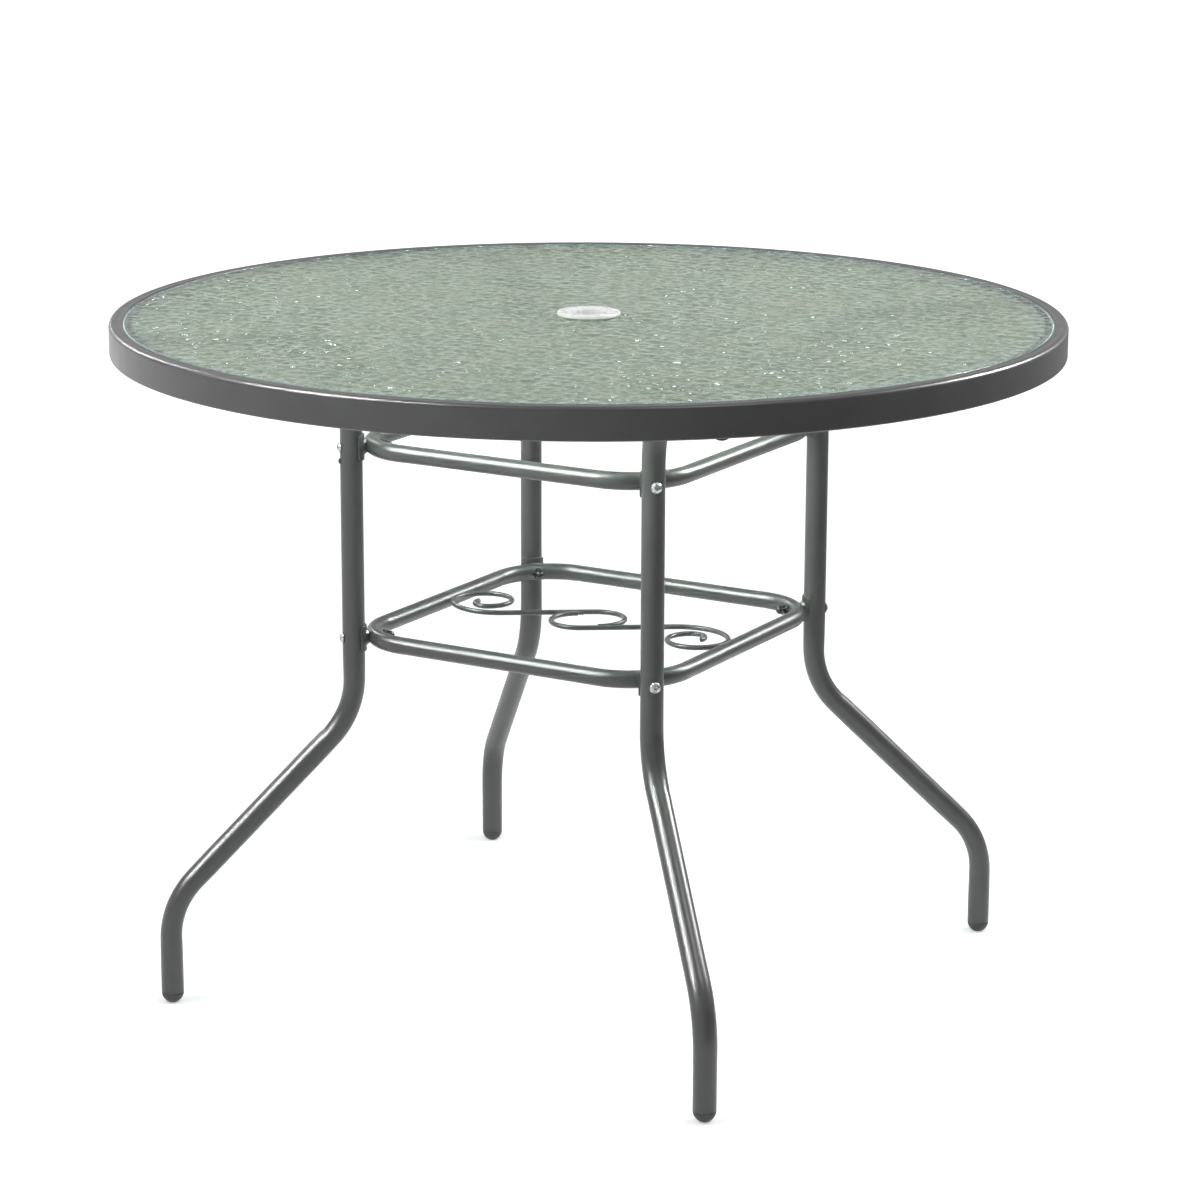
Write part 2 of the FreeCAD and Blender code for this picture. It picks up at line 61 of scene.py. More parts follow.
Inputs = dict[str | int, object]
Loop = np.ndarray
Shape = Callable[[float, float, np.ndarray], np.ndarray]
Span = tuple[float, float]
Tint = tuple[float, float, float]
Place = tuple[float, float, float]


class Body(Enum):
    """Bodies that a piece can ride on."""

    TABLE = "table_frame"
    GLASS = "glass"
    POLE_RING = "pole_ring"


class Slot(Enum):
    """Names of material slots, which each piece keeps beside its finish."""

    PAINTED_STEEL = "painted_steel"
    GLASS = "glass"
    WHITE_PLASTIC = "white_plastic"
    VINYL = "vinyl"
    BLACK_PLASTIC = "black_plastic"
    ZINC = "zinc"
    BLACK_STEEL = "black_steel"


class Side(Enum):
    """The four legs, by the direction in degrees that each one stands in."""

    FRONT = -45.0
    RIGHT = 45.0
    BACK = 135.0
    LEFT = -135.0

    @property
    def word(self) -> str:
        """The side's name in small letters."""
        return self.name.lower()


class Level(Enum):
    """The two square frames, by the height of their tubes."""

    UPPER = 634.0
    LOWER = 415.0

    @property
    def word(self) -> str:
        """The level's name in small letters."""
        return self.name.lower()


# Meshes in the making


def direction(degrees: float) -> np.ndarray:
    """Unit vector in the floor's plane."""
    angle = math.radians(degrees)
    return np.array([math.cos(angle), math.sin(angle), 0.0])


def bell(offsets: np.ndarray, spread: float) -> np.ndarray:
    """Smooth bump of height one that fades with distance."""
    return np.exp(-((offsets / spread) ** 2))


def wrapped(degrees: float | np.ndarray) -> float | np.ndarray:
    """Bring degrees within half a turn of zero."""
    return (degrees + HALF_TURN) % WHOLE_TURN - HALF_TURN


def rotated(arm: np.ndarray, angle: float) -> np.ndarray:
    """Turn a flat vector.

    Args:
        arm: The vector's two parts.
        angle: Angle in radians, anticlockwise where positive.

    Returns:
        The turned vector.
    """
    cosine = math.cos(angle)
    sine = math.sin(angle)
    return np.array([arm[0] * cosine - arm[1] * sine, arm[0] * sine + arm[1] * cosine])


def angles_round(count: int) -> np.ndarray:
    """Angles of evenly spaced points round a circle, in radians."""
    return np.linspace(0, 2 * math.pi, count, endpoint=False)


def level_loop(radii: float | np.ndarray, angles: np.ndarray, height: float) -> np.ndarray:
    """Place points round the upright axis.

    Args:
        radii: One radius for the whole loop, or one for each angle.
        angles: Angle of each point.
        height: Height of the loop.

    Returns:
        The points.
    """
    across = radii * np.cos(angles)
    deep = radii * np.sin(angles)
    return np.stack([across, deep, np.full(len(angles), height)], axis=1)


def ball_radius(half_width: float, rise: float) -> float:
    """Radius of the ball that a dome of a half width and a rise is cut from."""
    return (half_width**2 + rise**2) / (2 * rise)


class Shell:
    """Closed mesh in the making, from loops of points that are bridged and capped."""

    def __init__(self) -> None:
        """Start with no points."""
        self.blocks: list[np.ndarray] = []
        self.faces: list[tuple[int, ...]] = []
        self.count = 0

    def loop(self, points: np.ndarray) -> Loop:
        """Add a loop of points.

        Args:
            points: Rows of x, y and z.

        Returns:
            The indexes of the new points.
        """
        rows = np.asarray(points, float).reshape(-1, 3)
        indexes = np.arange(self.count, self.count + len(rows))
        self.blocks.append(rows)
        self.count += len(rows)
        return indexes

    def bridge(self, first: Loop, second: Loop) -> None:
        """Join two loops by faces. The second may have twice the points of the first.

        Args:
            first: Indexes of a loop.
            second: Indexes of the next loop.
        """
        after = np.roll(first, -1)
        if len(first) == len(second):
            quads = np.stack([first, after, np.roll(second, -1), second], axis=1)
            self.faces.extend(map(tuple, quads.tolist()))
            return
        even = second[0::2]
        odd = second[1::2]
        triangles = np.stack([first, odd, even], axis=1)
        quads = np.stack([first, after, np.roll(even, -1), odd], axis=1)
        self.faces.extend(map(tuple, triangles.tolist()))
        self.faces.extend(map(tuple, quads.tolist()))

    def skin(self, loops: Sequence[np.ndarray], closed: bool = False) -> list[Loop]:
        """Add loops and bridge each to the next.

        Args:
            loops: The points of each loop.
            closed: Whether the last loop is bridged to the first.

        Returns:
            The indexes of each loop.
        """
        indexes = [self.loop(points) for points in loops]
        for first, second in zip(indexes, indexes[1:]):
            self.bridge(first, second)
        if closed:
            self.bridge(indexes[-1], indexes[0])
        return indexes

    def cap(self, loop: Loop) -> None:
        """Close a loop with a fan of triangles round its middle.

        Args:
            loop: Indexes of the loop.
        """
        points = np.concatenate(self.blocks)[loop]
        middle = int(self.loop(points.mean(axis=0))[0])
        for here, after in zip(loop.tolist(), np.roll(loop, -1).tolist()):
            self.faces.append((here, after, middle))

    def rod(self, loops: Sequence[np.ndarray]) -> None:
        """Add loops, bridge each to the next, and cap the first and the last.

        Args:
            loops: The points of each loop.
        """
        indexes = self.skin(loops)
        self.cap(indexes[0])
        self.cap(indexes[-1])

    def add(self, other: "Shell") -> "Shell":
        """Take in another shell's points and faces.

        Args:
            other: The shell that is taken in.

        Returns:
            This shell.
        """
        for block in other.blocks:
            self.blocks.append(block)
        self.faces.extend(tuple(i + self.count for i in face) for face in other.faces)
        self.count += other.count
        return self

    def moved(self, matrix: Matrix) -> "Shell":
        """Copy the shell, moved by a matrix.

        Args:
            matrix: Where the copy goes.

        Returns:
            The copy.
        """
        copy = Shell()
        turn = np.array(matrix.to_3x3())
        shift = np.array(matrix.translation)
        copy.blocks = [block @ turn.T + shift for block in self.blocks]
        copy.faces = list(self.faces)
        copy.count = self.count
        return copy

    def turned(self, degrees: float) -> "Shell":
        """Return a copy that is turned about the table's axis."""
        return self.moved(Matrix.Rotation(math.radians(degrees), 4, "Z"))

    def to_mesh(self, name: str, sharp_degrees: float) -> bpy.types.Mesh:
        """Make a mesh in metres, shaded smooth except at its sharp edges.

        Args:
            name: Name of the mesh.
            sharp_degrees: Edges that turn by more than this stay sharp.

        Returns:
            The mesh, with its faces turned outwards.
        """
        mesh = bpy.data.meshes.new(name)
        points = np.concatenate(self.blocks) * MILLIMETRE
        mesh.from_pydata(points.tolist(), [], self.faces)
        work = bmesh.new()
        work.from_mesh(mesh)
        bmesh.ops.recalc_face_normals(work, faces=work.faces)
        work.to_mesh(mesh)
        work.free()
        mesh.polygons.foreach_set("use_smooth", [True] * len(mesh.polygons))
        mesh.set_sharp_from_angle(angle=math.radians(sharp_degrees))
        mesh.update()
        return mesh


class Outline:
    """Outline in (radius, height), drawn from point to point with lines and arcs."""

    def __init__(self, radius: float, height: float) -> None:
        """Start the outline at a point."""
        self.points: list[Span] = [(radius, height)]

    def line(self, radius: float, height: float) -> "Outline":
        """Draw a straight line to a point, and return the outline."""
        self.points.append((radius, height))
        return self

    def arc(self, centre: Span, turn: float, steps: int) -> "Outline":
        """Turn the last point about a centre.

        Args:
            centre: Radius and height of the arc's centre.
            turn: Degrees to turn, anticlockwise where positive.
            steps: Number of points to add.

        Returns:
            The outline.
        """
        start = np.array(self.points[-1]) - centre
        for step in range(1, steps + 1):
            radius, height = rotated(start, math.radians(turn * step / steps)) + centre
            self.points.append((float(radius), float(height)))
        return self


def spun(
    outline: Outline, segments: int, closed: bool = True, shape: Optional[Shape] = None
) -> Shell:
    """Spin an outline about the upright axis.

    Args:
        outline: Outline whose first and last points are joined where it is closed.
        segments: Points in each loop.
        closed: Whether the outline is closed. An open one is capped at its ends.
        shape: Gives the radius at each angle, from a point's radius and height.

    Returns:
        The spun shell.
    """
    angles = angles_round(segments)
    loops = []
    for radius, height in outline.points:
        radii = radius if shape is None else shape(radius, height, angles)
        loops.append(level_loop(radii, angles, height))
    shell = Shell()
    if closed:
        shell.skin(loops, closed=True)
    else:
        shell.rod(loops)
    return shell


def hexagon(flats: float) -> Shape:
    """Make a shape that cuts radii down to a hexagon.

    Args:
        flats: Distance between opposite flats.

    Returns:
        Function of a point's radius, its height and the angles.
    """

    def shape(radius: float, _height: float, angles: np.ndarray) -> np.ndarray:
        """Take the radius of the hexagon or of the circle, whichever is smaller.

        Args:
            radius: Radius of the circle.
            _height: Height of the point, which makes no difference.
            angles: Angle of each point.

        Returns:
            Radius at each angle.
        """
        sector = math.pi / 3
        from_flat = np.mod(angles, sector) - sector / 2
        return np.minimum(radius, flats / 2 / np.cos(from_flat))

    return shape


class CentreLine:
    """Flat centre line of straight runs and arcs, sampled as it is drawn."""

    fewest_steps = 4
    widest_degrees = 5.0

    def __init__(self, start: Span, heading: float, step: float = 6.0) -> None:
        """Start at a point.

        Args:
            start: The point.
            heading: Direction to go in, in degrees.
            step: Distance between samples.
        """
        self.places = [np.array(start, float)]
        self.headings = [math.radians(heading)]
        self.curvatures = [0.0]
        self.step = step

    def run(self, length: float) -> "CentreLine":
        """Go straight on.

        Args:
            length: How far to go.

        Returns:
            The line.
        """
        heading = self.headings[-1]
        ahead = np.array([math.cos(heading), math.sin(heading)])
        start = self.places[-1]
        count = max(1, round(length / self.step))
        for index in range(1, count + 1):
            self.places.append(start + ahead * length * index / count)
            self.headings.append(heading)
            self.curvatures.append(0.0)
        return self

    def bend(self, radius: float, turn: float) -> "CentreLine":
        """Follow an arc.

        Args:
            radius: Radius of the arc.
            turn: Degrees to turn, to the left where positive.

        Returns:
            The line.
        """
        heading = self.headings[-1]
        hand = math.copysign(1.0, turn)
        spoke = np.array([math.sin(heading), -math.cos(heading)]) * radius * hand
        centre = self.places[-1] - spoke
        whole = math.radians(turn)
        by_length = round(abs(whole) * radius / self.step)
        count = max(self.fewest_steps, by_length, round(abs(turn) / self.widest_degrees))
        for index in range(1, count + 1):
            angle = whole * index / count
            self.places.append(centre + rotated(spoke, angle))
            self.headings.append(heading + angle)
            self.curvatures.append(hand / radius)
        return self

    @classmethod
    def through(
        cls, corners: Sequence[Span], radii: Sequence[float], step: float = 6.0
    ) -> "CentreLine":
        """Join straight runs through corners by arcs.

        Args:
            corners: The line's two ends and the corners between them.
            radii: Radius of the arc at each corner.
            step: Distance between samples.

        Returns:
            The line.
        """
        rows = [np.array(corner, float) for corner in corners]
        runs = [after - before for before, after in zip(rows, rows[1:])]
        lengths = [float(np.linalg.norm(run)) for run in runs]
        headings = [math.degrees(math.atan2(run[1], run[0])) for run in runs]
        turns = [wrapped(b - a) for a, b in zip(headings, headings[1:])]
        setbacks = [r * math.tan(math.radians(abs(turn)) / 2) for r, turn in zip(radii, turns)]
        line = cls(corners[0], headings[0], step)
        for length, before, after, radius, turn in zip(lengths, [0.0] + setbacks, setbacks, radii, turns):
            line.run(length - before - after)
            line.bend(radius, turn)
        return line.run(lengths[-1] - setbacks[-1])

    @property
    def lengths(self) -> np.ndarray:
        """Distance of each sample along the line."""
        steps = np.linalg.norm(np.diff(np.array(self.places), axis=0), axis=1)
        return np.concatenate([[0.0], np.cumsum(steps)])

    def eased_curvatures(self, reach: float) -> np.ndarray:
        """Spread the curvature along the line, as a bent tube's section does.

        Args:
            reach: How far along the line it spreads.

        Returns:
            Curvature at each sample.
        """
        lengths = self.lengths
        weights = bell(lengths[:, None] - lengths[None, :], reach)
        return weights @ np.array(self.curvatures) / weights.sum(axis=1)


@dataclass(frozen=True)
class Plane:
    """Plane that a flat centre line lies in."""

    origin: np.ndarray
    first: np.ndarray
    second: np.ndarray

    @classmethod
    def level(cls, height: float) -> "Plane":
        """Level plane at a height."""
        return cls(UP * height, direction(0), direction(90))

    @classmethod
    def upright(cls, degrees: float) -> "Plane":
        """Upright plane that runs out from the table's axis."""
        return cls(UP * 0, direction(degrees), UP)

    def lifted(self, line: CentreLine, offsets: np.ndarray) -> np.ndarray:
        """Place sections along a centre line.

        Args:
            line: The centre line.
            offsets: For each sample, points as (to the line's left, out of the plane).

        Returns:
            The points of each section.
        """
        places = np.array(line.places)
        headings = np.array(line.headings)
        left = np.outer(-np.sin(headings), self.first) + np.outer(np.cos(headings), self.second)
        across = np.cross(self.first, self.second)
        middles = self.origin + np.outer(places[:, 0], self.first) + np.outer(places[:, 1], self.second)
        return (
            middles[:, None, :]
            + offsets[:, :, 0, None] * left[:, None, :]
            + offsets[:, :, 1, None] * across
        )


@dataclass(frozen=True)
class Dent:
    """Dent or crease pressed into a tube."""

    place: float
    angle: float
    depth: float
    along: float
    round_about: float

    def depths(self, lengths: np.ndarray, angles: np.ndarray) -> np.ndarray:
        """Depth of the dent over a tube's skin.

        Args:
            lengths: Distances along the tube.
            angles: Angles round the tube, in radians.

        Returns:
            Depth at each length and angle.
        """
        apart = wrapped(np.degrees(angles) - self.angle)
        pressed = bell(lengths - self.place, self.along)
        return self.depth * pressed[:, None] * bell(apart, self.round_about)[None, :]


@dataclass(frozen=True)
class Bar:
    """Round bar or tube that is swept along a centre line."""

    radius: float
    wall: Optional[float] = None
    segments: int = 40
    flattening: float = 0.0
    chamfer: float = 0.3
    dents: tuple[Dent, ...] = ()
    lumps: float = 0.0
    lump_size: float = 4.0

    def sections(self, line: CentreLine, radius: float) -> np.ndarray:
        """Section at each sample of the line.

        Args:
            line: The centre line.
            radius: Radius of the skin that is drawn.

        Returns:
            Points as (to the line's left, out of the plane).
        """
        angles = angles_round(self.segments)
        radii = np.full((len(line.places), self.segments), radius)
        for dent in self.dents:
            radii = radii - dent.depths(line.lengths, angles)
        squash = self.flattening * self.radius * np.abs(line.eased_curvatures(2 * self.radius))
        sideways = radii * np.cos(angles) * (1 - squash[:, None])
        upwards = radii * np.sin(angles) * (1 + squash[:, None] / 2)
        return np.stack([sideways, upwards], axis=2)

    def swept(self, line: CentreLine, plane: Plane, closed: bool = False) -> Shell:
        """Sweep the bar along a line.

        Args:
            line: The centre line.
            plane: Plane that the line lies in.
            closed: Whether the line's end meets its start.

        Returns:
            The swept shell.
        """
        outside = list(plane.lifted(line, self.sections(line, self.radius)))
        if self.lumps:
            outside = [self.lumpy(loop) for loop in outside]
        shell = Shell()
        if closed:
            shell.skin(outside[:-1], closed=True)
            return shell
        rim = plane.lifted(line, self.sections(line, self.radius - self.chamfer))
        outside[0] = self.drawn_back(outside[0], outside[1])
        outside[-1] = self.drawn_back(outside[-1], outside[-2])
        loops = [rim[0], *outside, rim[-1]]
        if self.wall is None:
            shell.rod(loops)
            return shell
        inside = list(plane.lifted(line, self.sections(line, self.radius - self.wall)))
        shell.skin(loops + inside[::-1], closed=True)
        return shell

    def drawn_back(self, end: np.ndarray, before: np.ndarray) -> np.ndarray:
        """Draw an end loop back by the chamfer, towards the loop before it."""
        back = (before - end).mean(axis=0)
        return end + back / np.linalg.norm(back) * self.chamfer

    def lumpy(self, loop: np.ndarray) -> np.ndarray:
        """Make a loop's radii uneven, as on a weld bead.

        Args:
            loop: Points of the loop.

        Returns:
            Points of the uneven loop.
        """
        middle = loop.mean(axis=0)
        scales = [
            1 + self.lumps * noise.noise(Vector(point / self.lump_size)) for point in loop
        ]
        return middle + (loop - middle) * np.array(scales)[:, None]


# Shader nodes


class Sheet:
    """Node tree in the making."""

    def __init__(self, tree: bpy.types.NodeTree) -> None:
        """Clear a node tree and take it over."""
        self.tree = tree
        tree.nodes.clear()

    def add(self, kind: str, inputs: Optional[Inputs] = None, **settings: object) -> bpy.types.Node:
        """Add a node.

        Args:
            kind: The node's type.
            inputs: Values or sockets for the node's inputs, by name or number.
            **settings: Values for the node's own properties.

        Returns:
            The node.
        """
        node = self.tree.nodes.new(kind)
        for key, value in settings.items():
            setattr(node, key, value)
        for key, value in (inputs or {}).items():
            if isinstance(value, bpy.types.NodeSocket):
                self.tree.links.new(value, node.inputs[key])
            else:
                node.inputs[key].default_value = value
        return node

    def noise(
        self, where: bpy.types.NodeSocket, scale: object, detail: float = 3.0, rough: float = 0.5
    ) -> bpy.types.NodeSocket:
        """Add a noise texture and return its value."""
        inputs = {"Vector": where, "Scale": scale, "Detail": detail, "Roughness": rough}
        return self.add("ShaderNodeTexNoise", inputs).outputs["Fac"]

    def maths(self, operation: str, first: object, second: object = 0.0) -> bpy.types.NodeSocket:
        """Add a sum of two values and return its result."""
        inputs = {0: first, 1: second}
        return self.add("ShaderNodeMath", inputs, operation=operation).outputs[0]

    def spread(
        self, value: bpy.types.NodeSocket, low: float, high: float,
        to_low: float = 0.0, to_high: float = 1.0
    ) -> bpy.types.NodeSocket:
        """Stretch a value smoothly from one range to another.

        Args:
            value: The value.
            low: Value that gives to_low.
            high: Value that gives to_high.
            to_low: First end of the new range.
            to_high: Second end of the new range.

        Returns:
            The stretched value.
        """
        inputs = {"Value": value, 1: low, 2: high, 3: to_low, 4: to_high}
        node = self.add("ShaderNodeMapRange", inputs, interpolation_type="SMOOTHSTEP")
        return node.outputs["Result"]

    def blend(self, share: object, first: object, second: object) -> bpy.types.NodeSocket:
        """Mix two colours and return the result."""
        inputs = {0: share, 6: first, 7: second}
        return self.add("ShaderNodeMix", inputs, data_type="RGBA").outputs[2]

    def overlay(
        self, tone: bpy.types.NodeSocket, mask: bpy.types.NodeSocket, share: float, over: Tint
    ) -> bpy.types.NodeSocket:
        """Lay a colour over a tone by a share of a mask, and return the result."""
        return self.blend(self.maths("MULTIPLY", mask, share), tone, colour(*over))

    def upward(self, vector: bpy.types.NodeSocket) -> bpy.types.NodeSocket:
        """Upward part of a vector."""
        return self.add("ShaderNodeSeparateXYZ", {0: vector}).outputs["Z"]

    def length(self, vector: bpy.types.NodeSocket) -> bpy.types.NodeSocket:
        """Length of a vector."""
        return self.add("ShaderNodeVectorMath", {0: vector}, operation="LENGTH").outputs["Value"]

    def place(self) -> bpy.types.NodeSocket:
        """Coordinates in the piece's own metres."""
        return self.add("ShaderNodeTexCoord").outputs["Object"]

    def bump(self, height: bpy.types.NodeSocket, distance: float) -> bpy.types.NodeSocket:
        """Add a bump of a height in metres and return its normal."""
        inputs = {"Height": height, "Distance": distance, "Strength": 1.0}
        return self.add("ShaderNodeBump", inputs).outputs["Normal"]

    def finish(self, shader: bpy.types.NodeSocket) -> None:
        """Send a shader to the output."""
        self.add("ShaderNodeOutputMaterial", {"Surface": shader})


def colour(red: float, green: float, blue: float) -> tuple[float, float, float, float]:
    """Opaque linear colour."""
    return (red, green, blue, 1.0)


class Effect:
    """Surface effect that several finishes share, kept as one shader node group."""

    name = ""
    inputs: dict[str, float] = {}
    outputs: tuple[str, ...] = ()

    def build(self, sheet: Sheet, given: bpy.types.Node) -> dict[str, bpy.types.NodeSocket]:
        """Draw the group's nodes and return its outputs by name."""
        raise NotImplementedError

    def group(self) -> bpy.types.NodeTree:
        """Find the effect's node group, or build it the first time.

        Returns:
            The node group.
        """
        found = bpy.data.node_groups.get(self.name)
        if found:
            return found
        tree = bpy.data.node_groups.new(self.name, "ShaderNodeTree")
        for name, value in self.inputs.items():
            socket = tree.interface.new_socket(name=name, in_out="INPUT", socket_type="NodeSocketFloat")
            socket.default_value = value
        for name in self.outputs:
            tree.interface.new_socket(name=name, in_out="OUTPUT", socket_type="NodeSocketFloat")
        sheet = Sheet(tree)
        given = sheet.add("NodeGroupInput")
        results = self.build(sheet, given)
        taken = sheet.add("NodeGroupOutput")
        for name, result in results.items():
            tree.links.new(result, taken.inputs[name])
        return tree

    def place(self, sheet: Sheet, **values: float) -> bpy.types.Node:
        """Place the effect in a material.

        Args:
            sheet: The material's nodes.
            **values: The material's own values for the group's inputs.

        Returns:
            The group's node.
        """
        node = sheet.add("ShaderNodeGroup", node_tree=self.group())
        for name, value in values.items():
            node.inputs[name].default_value = value
        return node


class SurfaceGrain(Effect):
    """Fine orange-peel grain, with slow mottling under it."""

    name = "surface_grain"
    inputs = {"Fineness": 1400.0, "Mottle": 30.0}
    outputs = ("Height", "Fleck", "Mottle")
    coarser = 0.33
    fleck_range = (0.52, 0.72)
    mottle_range = (0.3, 0.7)

    def build(self, sheet: Sheet, given: bpy.types.Node) -> dict[str, bpy.types.NodeSocket]:
        """Draw two sizes of grain and a slow mottle.

        Args:
            sheet: The group's nodes.
            given: Node with the group's inputs.

        Returns:
            The group's outputs by name.
        """
        where = sheet.place()
        fine = sheet.noise(where, given.outputs["Fineness"], detail=4.0, rough=0.6)
        coarse_size = sheet.maths("MULTIPLY", given.outputs["Fineness"], self.coarser)
        coarse = sheet.noise(where, coarse_size, detail=2.0)
        slow = sheet.noise(where, given.outputs["Mottle"], rough=0.6)
        return {
            "Height": sheet.maths("ADD", fine, coarse),
            "Fleck": sheet.spread(fine, *self.fleck_range),
            "Mottle": sheet.spread(slow, *self.mottle_range),
        }


class EdgeWear(Effect):
    """Rubbed edges: strong on convex edges, broken up by noise."""

    name = "edge_wear"
    inputs = {"Onset": 0.52, "Breakup": 220.0}
    outputs = ("Mask",)
    edge_range = (0.0, 0.08)
    broken_range = (0.42, 0.62)

    def build(self, sheet: Sheet, given: bpy.types.Node) -> dict[str, bpy.types.NodeSocket]:
        """Draw a mask from the sharpness of the surface.

        Args:
            sheet: The group's nodes.
            given: Node with the group's inputs.

        Returns:
            The group's output by name.
        """
        sharpness = sheet.add("ShaderNodeNewGeometry").outputs["Pointiness"]
        above = sheet.maths("SUBTRACT", sharpness, given.outputs["Onset"])
        edge = sheet.spread(above, *self.edge_range)
        broken = sheet.noise(sheet.place(), given.outputs["Breakup"], detail=4.0, rough=0.65)
        return {"Mask": sheet.maths("MULTIPLY", edge, sheet.spread(broken, *self.broken_range))}


class SettledDust(Effect):
    """Dust on the faces that look up, thicker in patches."""

    name = "settled_dust"
    inputs = {"Patch": 60.0}
    outputs = ("Mask",)
    facing_range = (0.35, 1.0)
    patch_range = (0.35, 0.75)

    def build(self, sheet: Sheet, given: bpy.types.Node) -> dict[str, bpy.types.NodeSocket]:
        """Draw a mask from the upward part of the normal.

        Args:
            sheet: The group's nodes.
            given: Node with the group's inputs.

        Returns:
            The group's output by name.
        """
        upward = sheet.upward(sheet.add("ShaderNodeNewGeometry").outputs["Normal"])
        facing = sheet.spread(upward, *self.facing_range)
        patches = sheet.noise(sheet.place(), given.outputs["Patch"], detail=5.0, rough=0.7)
        return {"Mask": sheet.maths("MULTIPLY", facing, sheet.spread(patches, *self.patch_range))}


@dataclass(frozen=True)
class Finish:
    """Finish of a piece's surface: its colour, gloss, grain and relief."""

    name: str
    tint: Tint
    roughness: Span
    fineness: float
    mottle: float
    relief: float

    def material(self) -> bpy.types.Material:
        """Find the finish's material, or make it the first time.

        Returns:
            The material.
        """
        found = bpy.data.materials.get(self.name)
        if found:
            return found
        made = bpy.data.materials.new(self.name)
        made.use_nodes = True
        self.draw(Sheet(made.node_tree))
        return made

    def draw(self, sheet: Sheet) -> None:
        """Draw the material's nodes."""
        raise NotImplementedError

    def grain(self, sheet: Sheet) -> bpy.types.Node:
        """Place the finish's own grain."""
        return SurfaceGrain().place(sheet, Fineness=self.fineness, Mottle=self.mottle)

    def surface(
        self, sheet: Sheet, tone: bpy.types.NodeSocket, grain: bpy.types.Node,
        height: bpy.types.NodeSocket, others: Inputs
    ) -> bpy.types.NodeSocket:
        """Add the finish's shader, whose gloss changes with the grain's mottle.

        Args:
            sheet: The material's nodes.
            tone: Colour of the surface.
            grain: The finish's grain.
            height: Height of the relief.
            others: Values for the shader's other inputs.

        Returns:
            The shader.
        """
        inputs = {
            "Base Color": tone,
            "Roughness": sheet.spread(grain.outputs["Mottle"], 0.0, 1.0, *self.roughness),
            "Normal": sheet.bump(height, self.relief),
        }
        return sheet.add("ShaderNodeBsdfPrincipled", inputs | others).outputs[0]


@dataclass(frozen=True)
class PaintedSteel(Finish):
    """Baked satin paint over steel: fine orange peel, faint mottle, dust and rubbed edges."""

    tint: Tint = (0.067, 0.0675, 0.068)
    roughness: Span = (0.29, 0.34)
    fineness: float = 1900.0
    mottle: float = 26.0
    relief: float = 0.00004
    paler: float = 1.1
    fleck: Tint = (0.16, 0.16, 0.16)
    fleck_share: float = 0.1
    dust: Tint = (0.34, 0.33, 0.31)
    dust_share: float = 0.03
    rubbed: Tint = (0.2, 0.2, 0.21)
    rubbed_share: float = 0.15
    specular: float = 0.6
    coat: float = 0.15
    coat_roughness: float = 0.15

    def draw(self, sheet: Sheet) -> None:
        """Draw the paint's colour, gloss and grain.

        Args:
            sheet: The material's nodes.
        """
        grain = self.grain(sheet)
        wear = EdgeWear().place(sheet)
        dust = SettledDust().place(sheet)
        pale = colour(*(self.paler * part for part in self.tint))
        tone = sheet.blend(grain.outputs["Mottle"], colour(*self.tint), pale)
        tone = sheet.overlay(tone, grain.outputs["Fleck"], self.fleck_share, self.fleck)
        tone = sheet.overlay(tone, dust.outputs["Mask"], self.dust_share, self.dust)
        tone = sheet.overlay(tone, wear.outputs["Mask"], self.rubbed_share, self.rubbed)
        others = {
            "Specular IOR Level": self.specular,
            "Coat Weight": self.coat,
            "Coat Roughness": self.coat_roughness,
        }
        sheet.finish(self.surface(sheet, tone, grain, grain.outputs["Height"], others))


@dataclass(frozen=True)
class PlatedSteel(Finish):
    """Plated steel: bright or black, with fine scuffs and darker patches."""

    tint: Tint = (0.72, 0.73, 0.74)
    roughness: Span = (0.18, 0.4)
    fineness: float = 2600.0
    mottle: float = 400.0
    relief: float = 0.00002
    dark: Tint = (0.35, 0.35, 0.36)
    rubbed: Tint = (0.8, 0.8, 0.8)
    rubbed_share: float = 0.5
    wear_onset: float = 0.53
    wear_breakup: float = 500.0

    def draw(self, sheet: Sheet) -> None:
        """Draw the plating's colour, gloss and scuffs.

        Args:
            sheet: The material's nodes.
        """
        grain = self.grain(sheet)
        wear = EdgeWear().place(sheet, Onset=self.wear_onset, Breakup=self.wear_breakup)
        tone = sheet.blend(grain.outputs["Mottle"], colour(*self.tint), colour(*self.dark))
        tone = sheet.overlay(tone, wear.outputs["Mask"], self.rubbed_share, self.rubbed)
        sheet.finish(self.surface(sheet, tone, grain, grain.outputs["Height"], {"Metallic": 1.0}))


@dataclass(frozen=True)
class MouldedPlastic(Finish):
    """Moulded plastic or soft vinyl with a fine texture and scuffed high spots."""

    tint: Tint = (0.05, 0.05, 0.052)
    roughness: Span = (0.38, 0.5)
    fineness: float = 1100.0
    mottle: float = 90.0
    relief: float = 0.00006
    scuff: Tint = (0.08, 0.08, 0.08)
    scuff_share: float = 0.4
    specular: float = 0.45

    def draw(self, sheet: Sheet) -> None:
        """Draw the plastic's colour, gloss and texture.

        Args:
            sheet: The material's nodes.
        """
        grain = self.grain(sheet)
        wear = EdgeWear().place(sheet)
        tone = sheet.blend(grain.outputs["Mottle"], colour(*self.tint), colour(*self.scuff))
        tone = sheet.overlay(tone, wear.outputs["Mask"], self.scuff_share, self.scuff)
        others = {"Specular IOR Level": self.specular}
        sheet.finish(self.surface(sheet, tone, grain, grain.outputs["Height"], others))


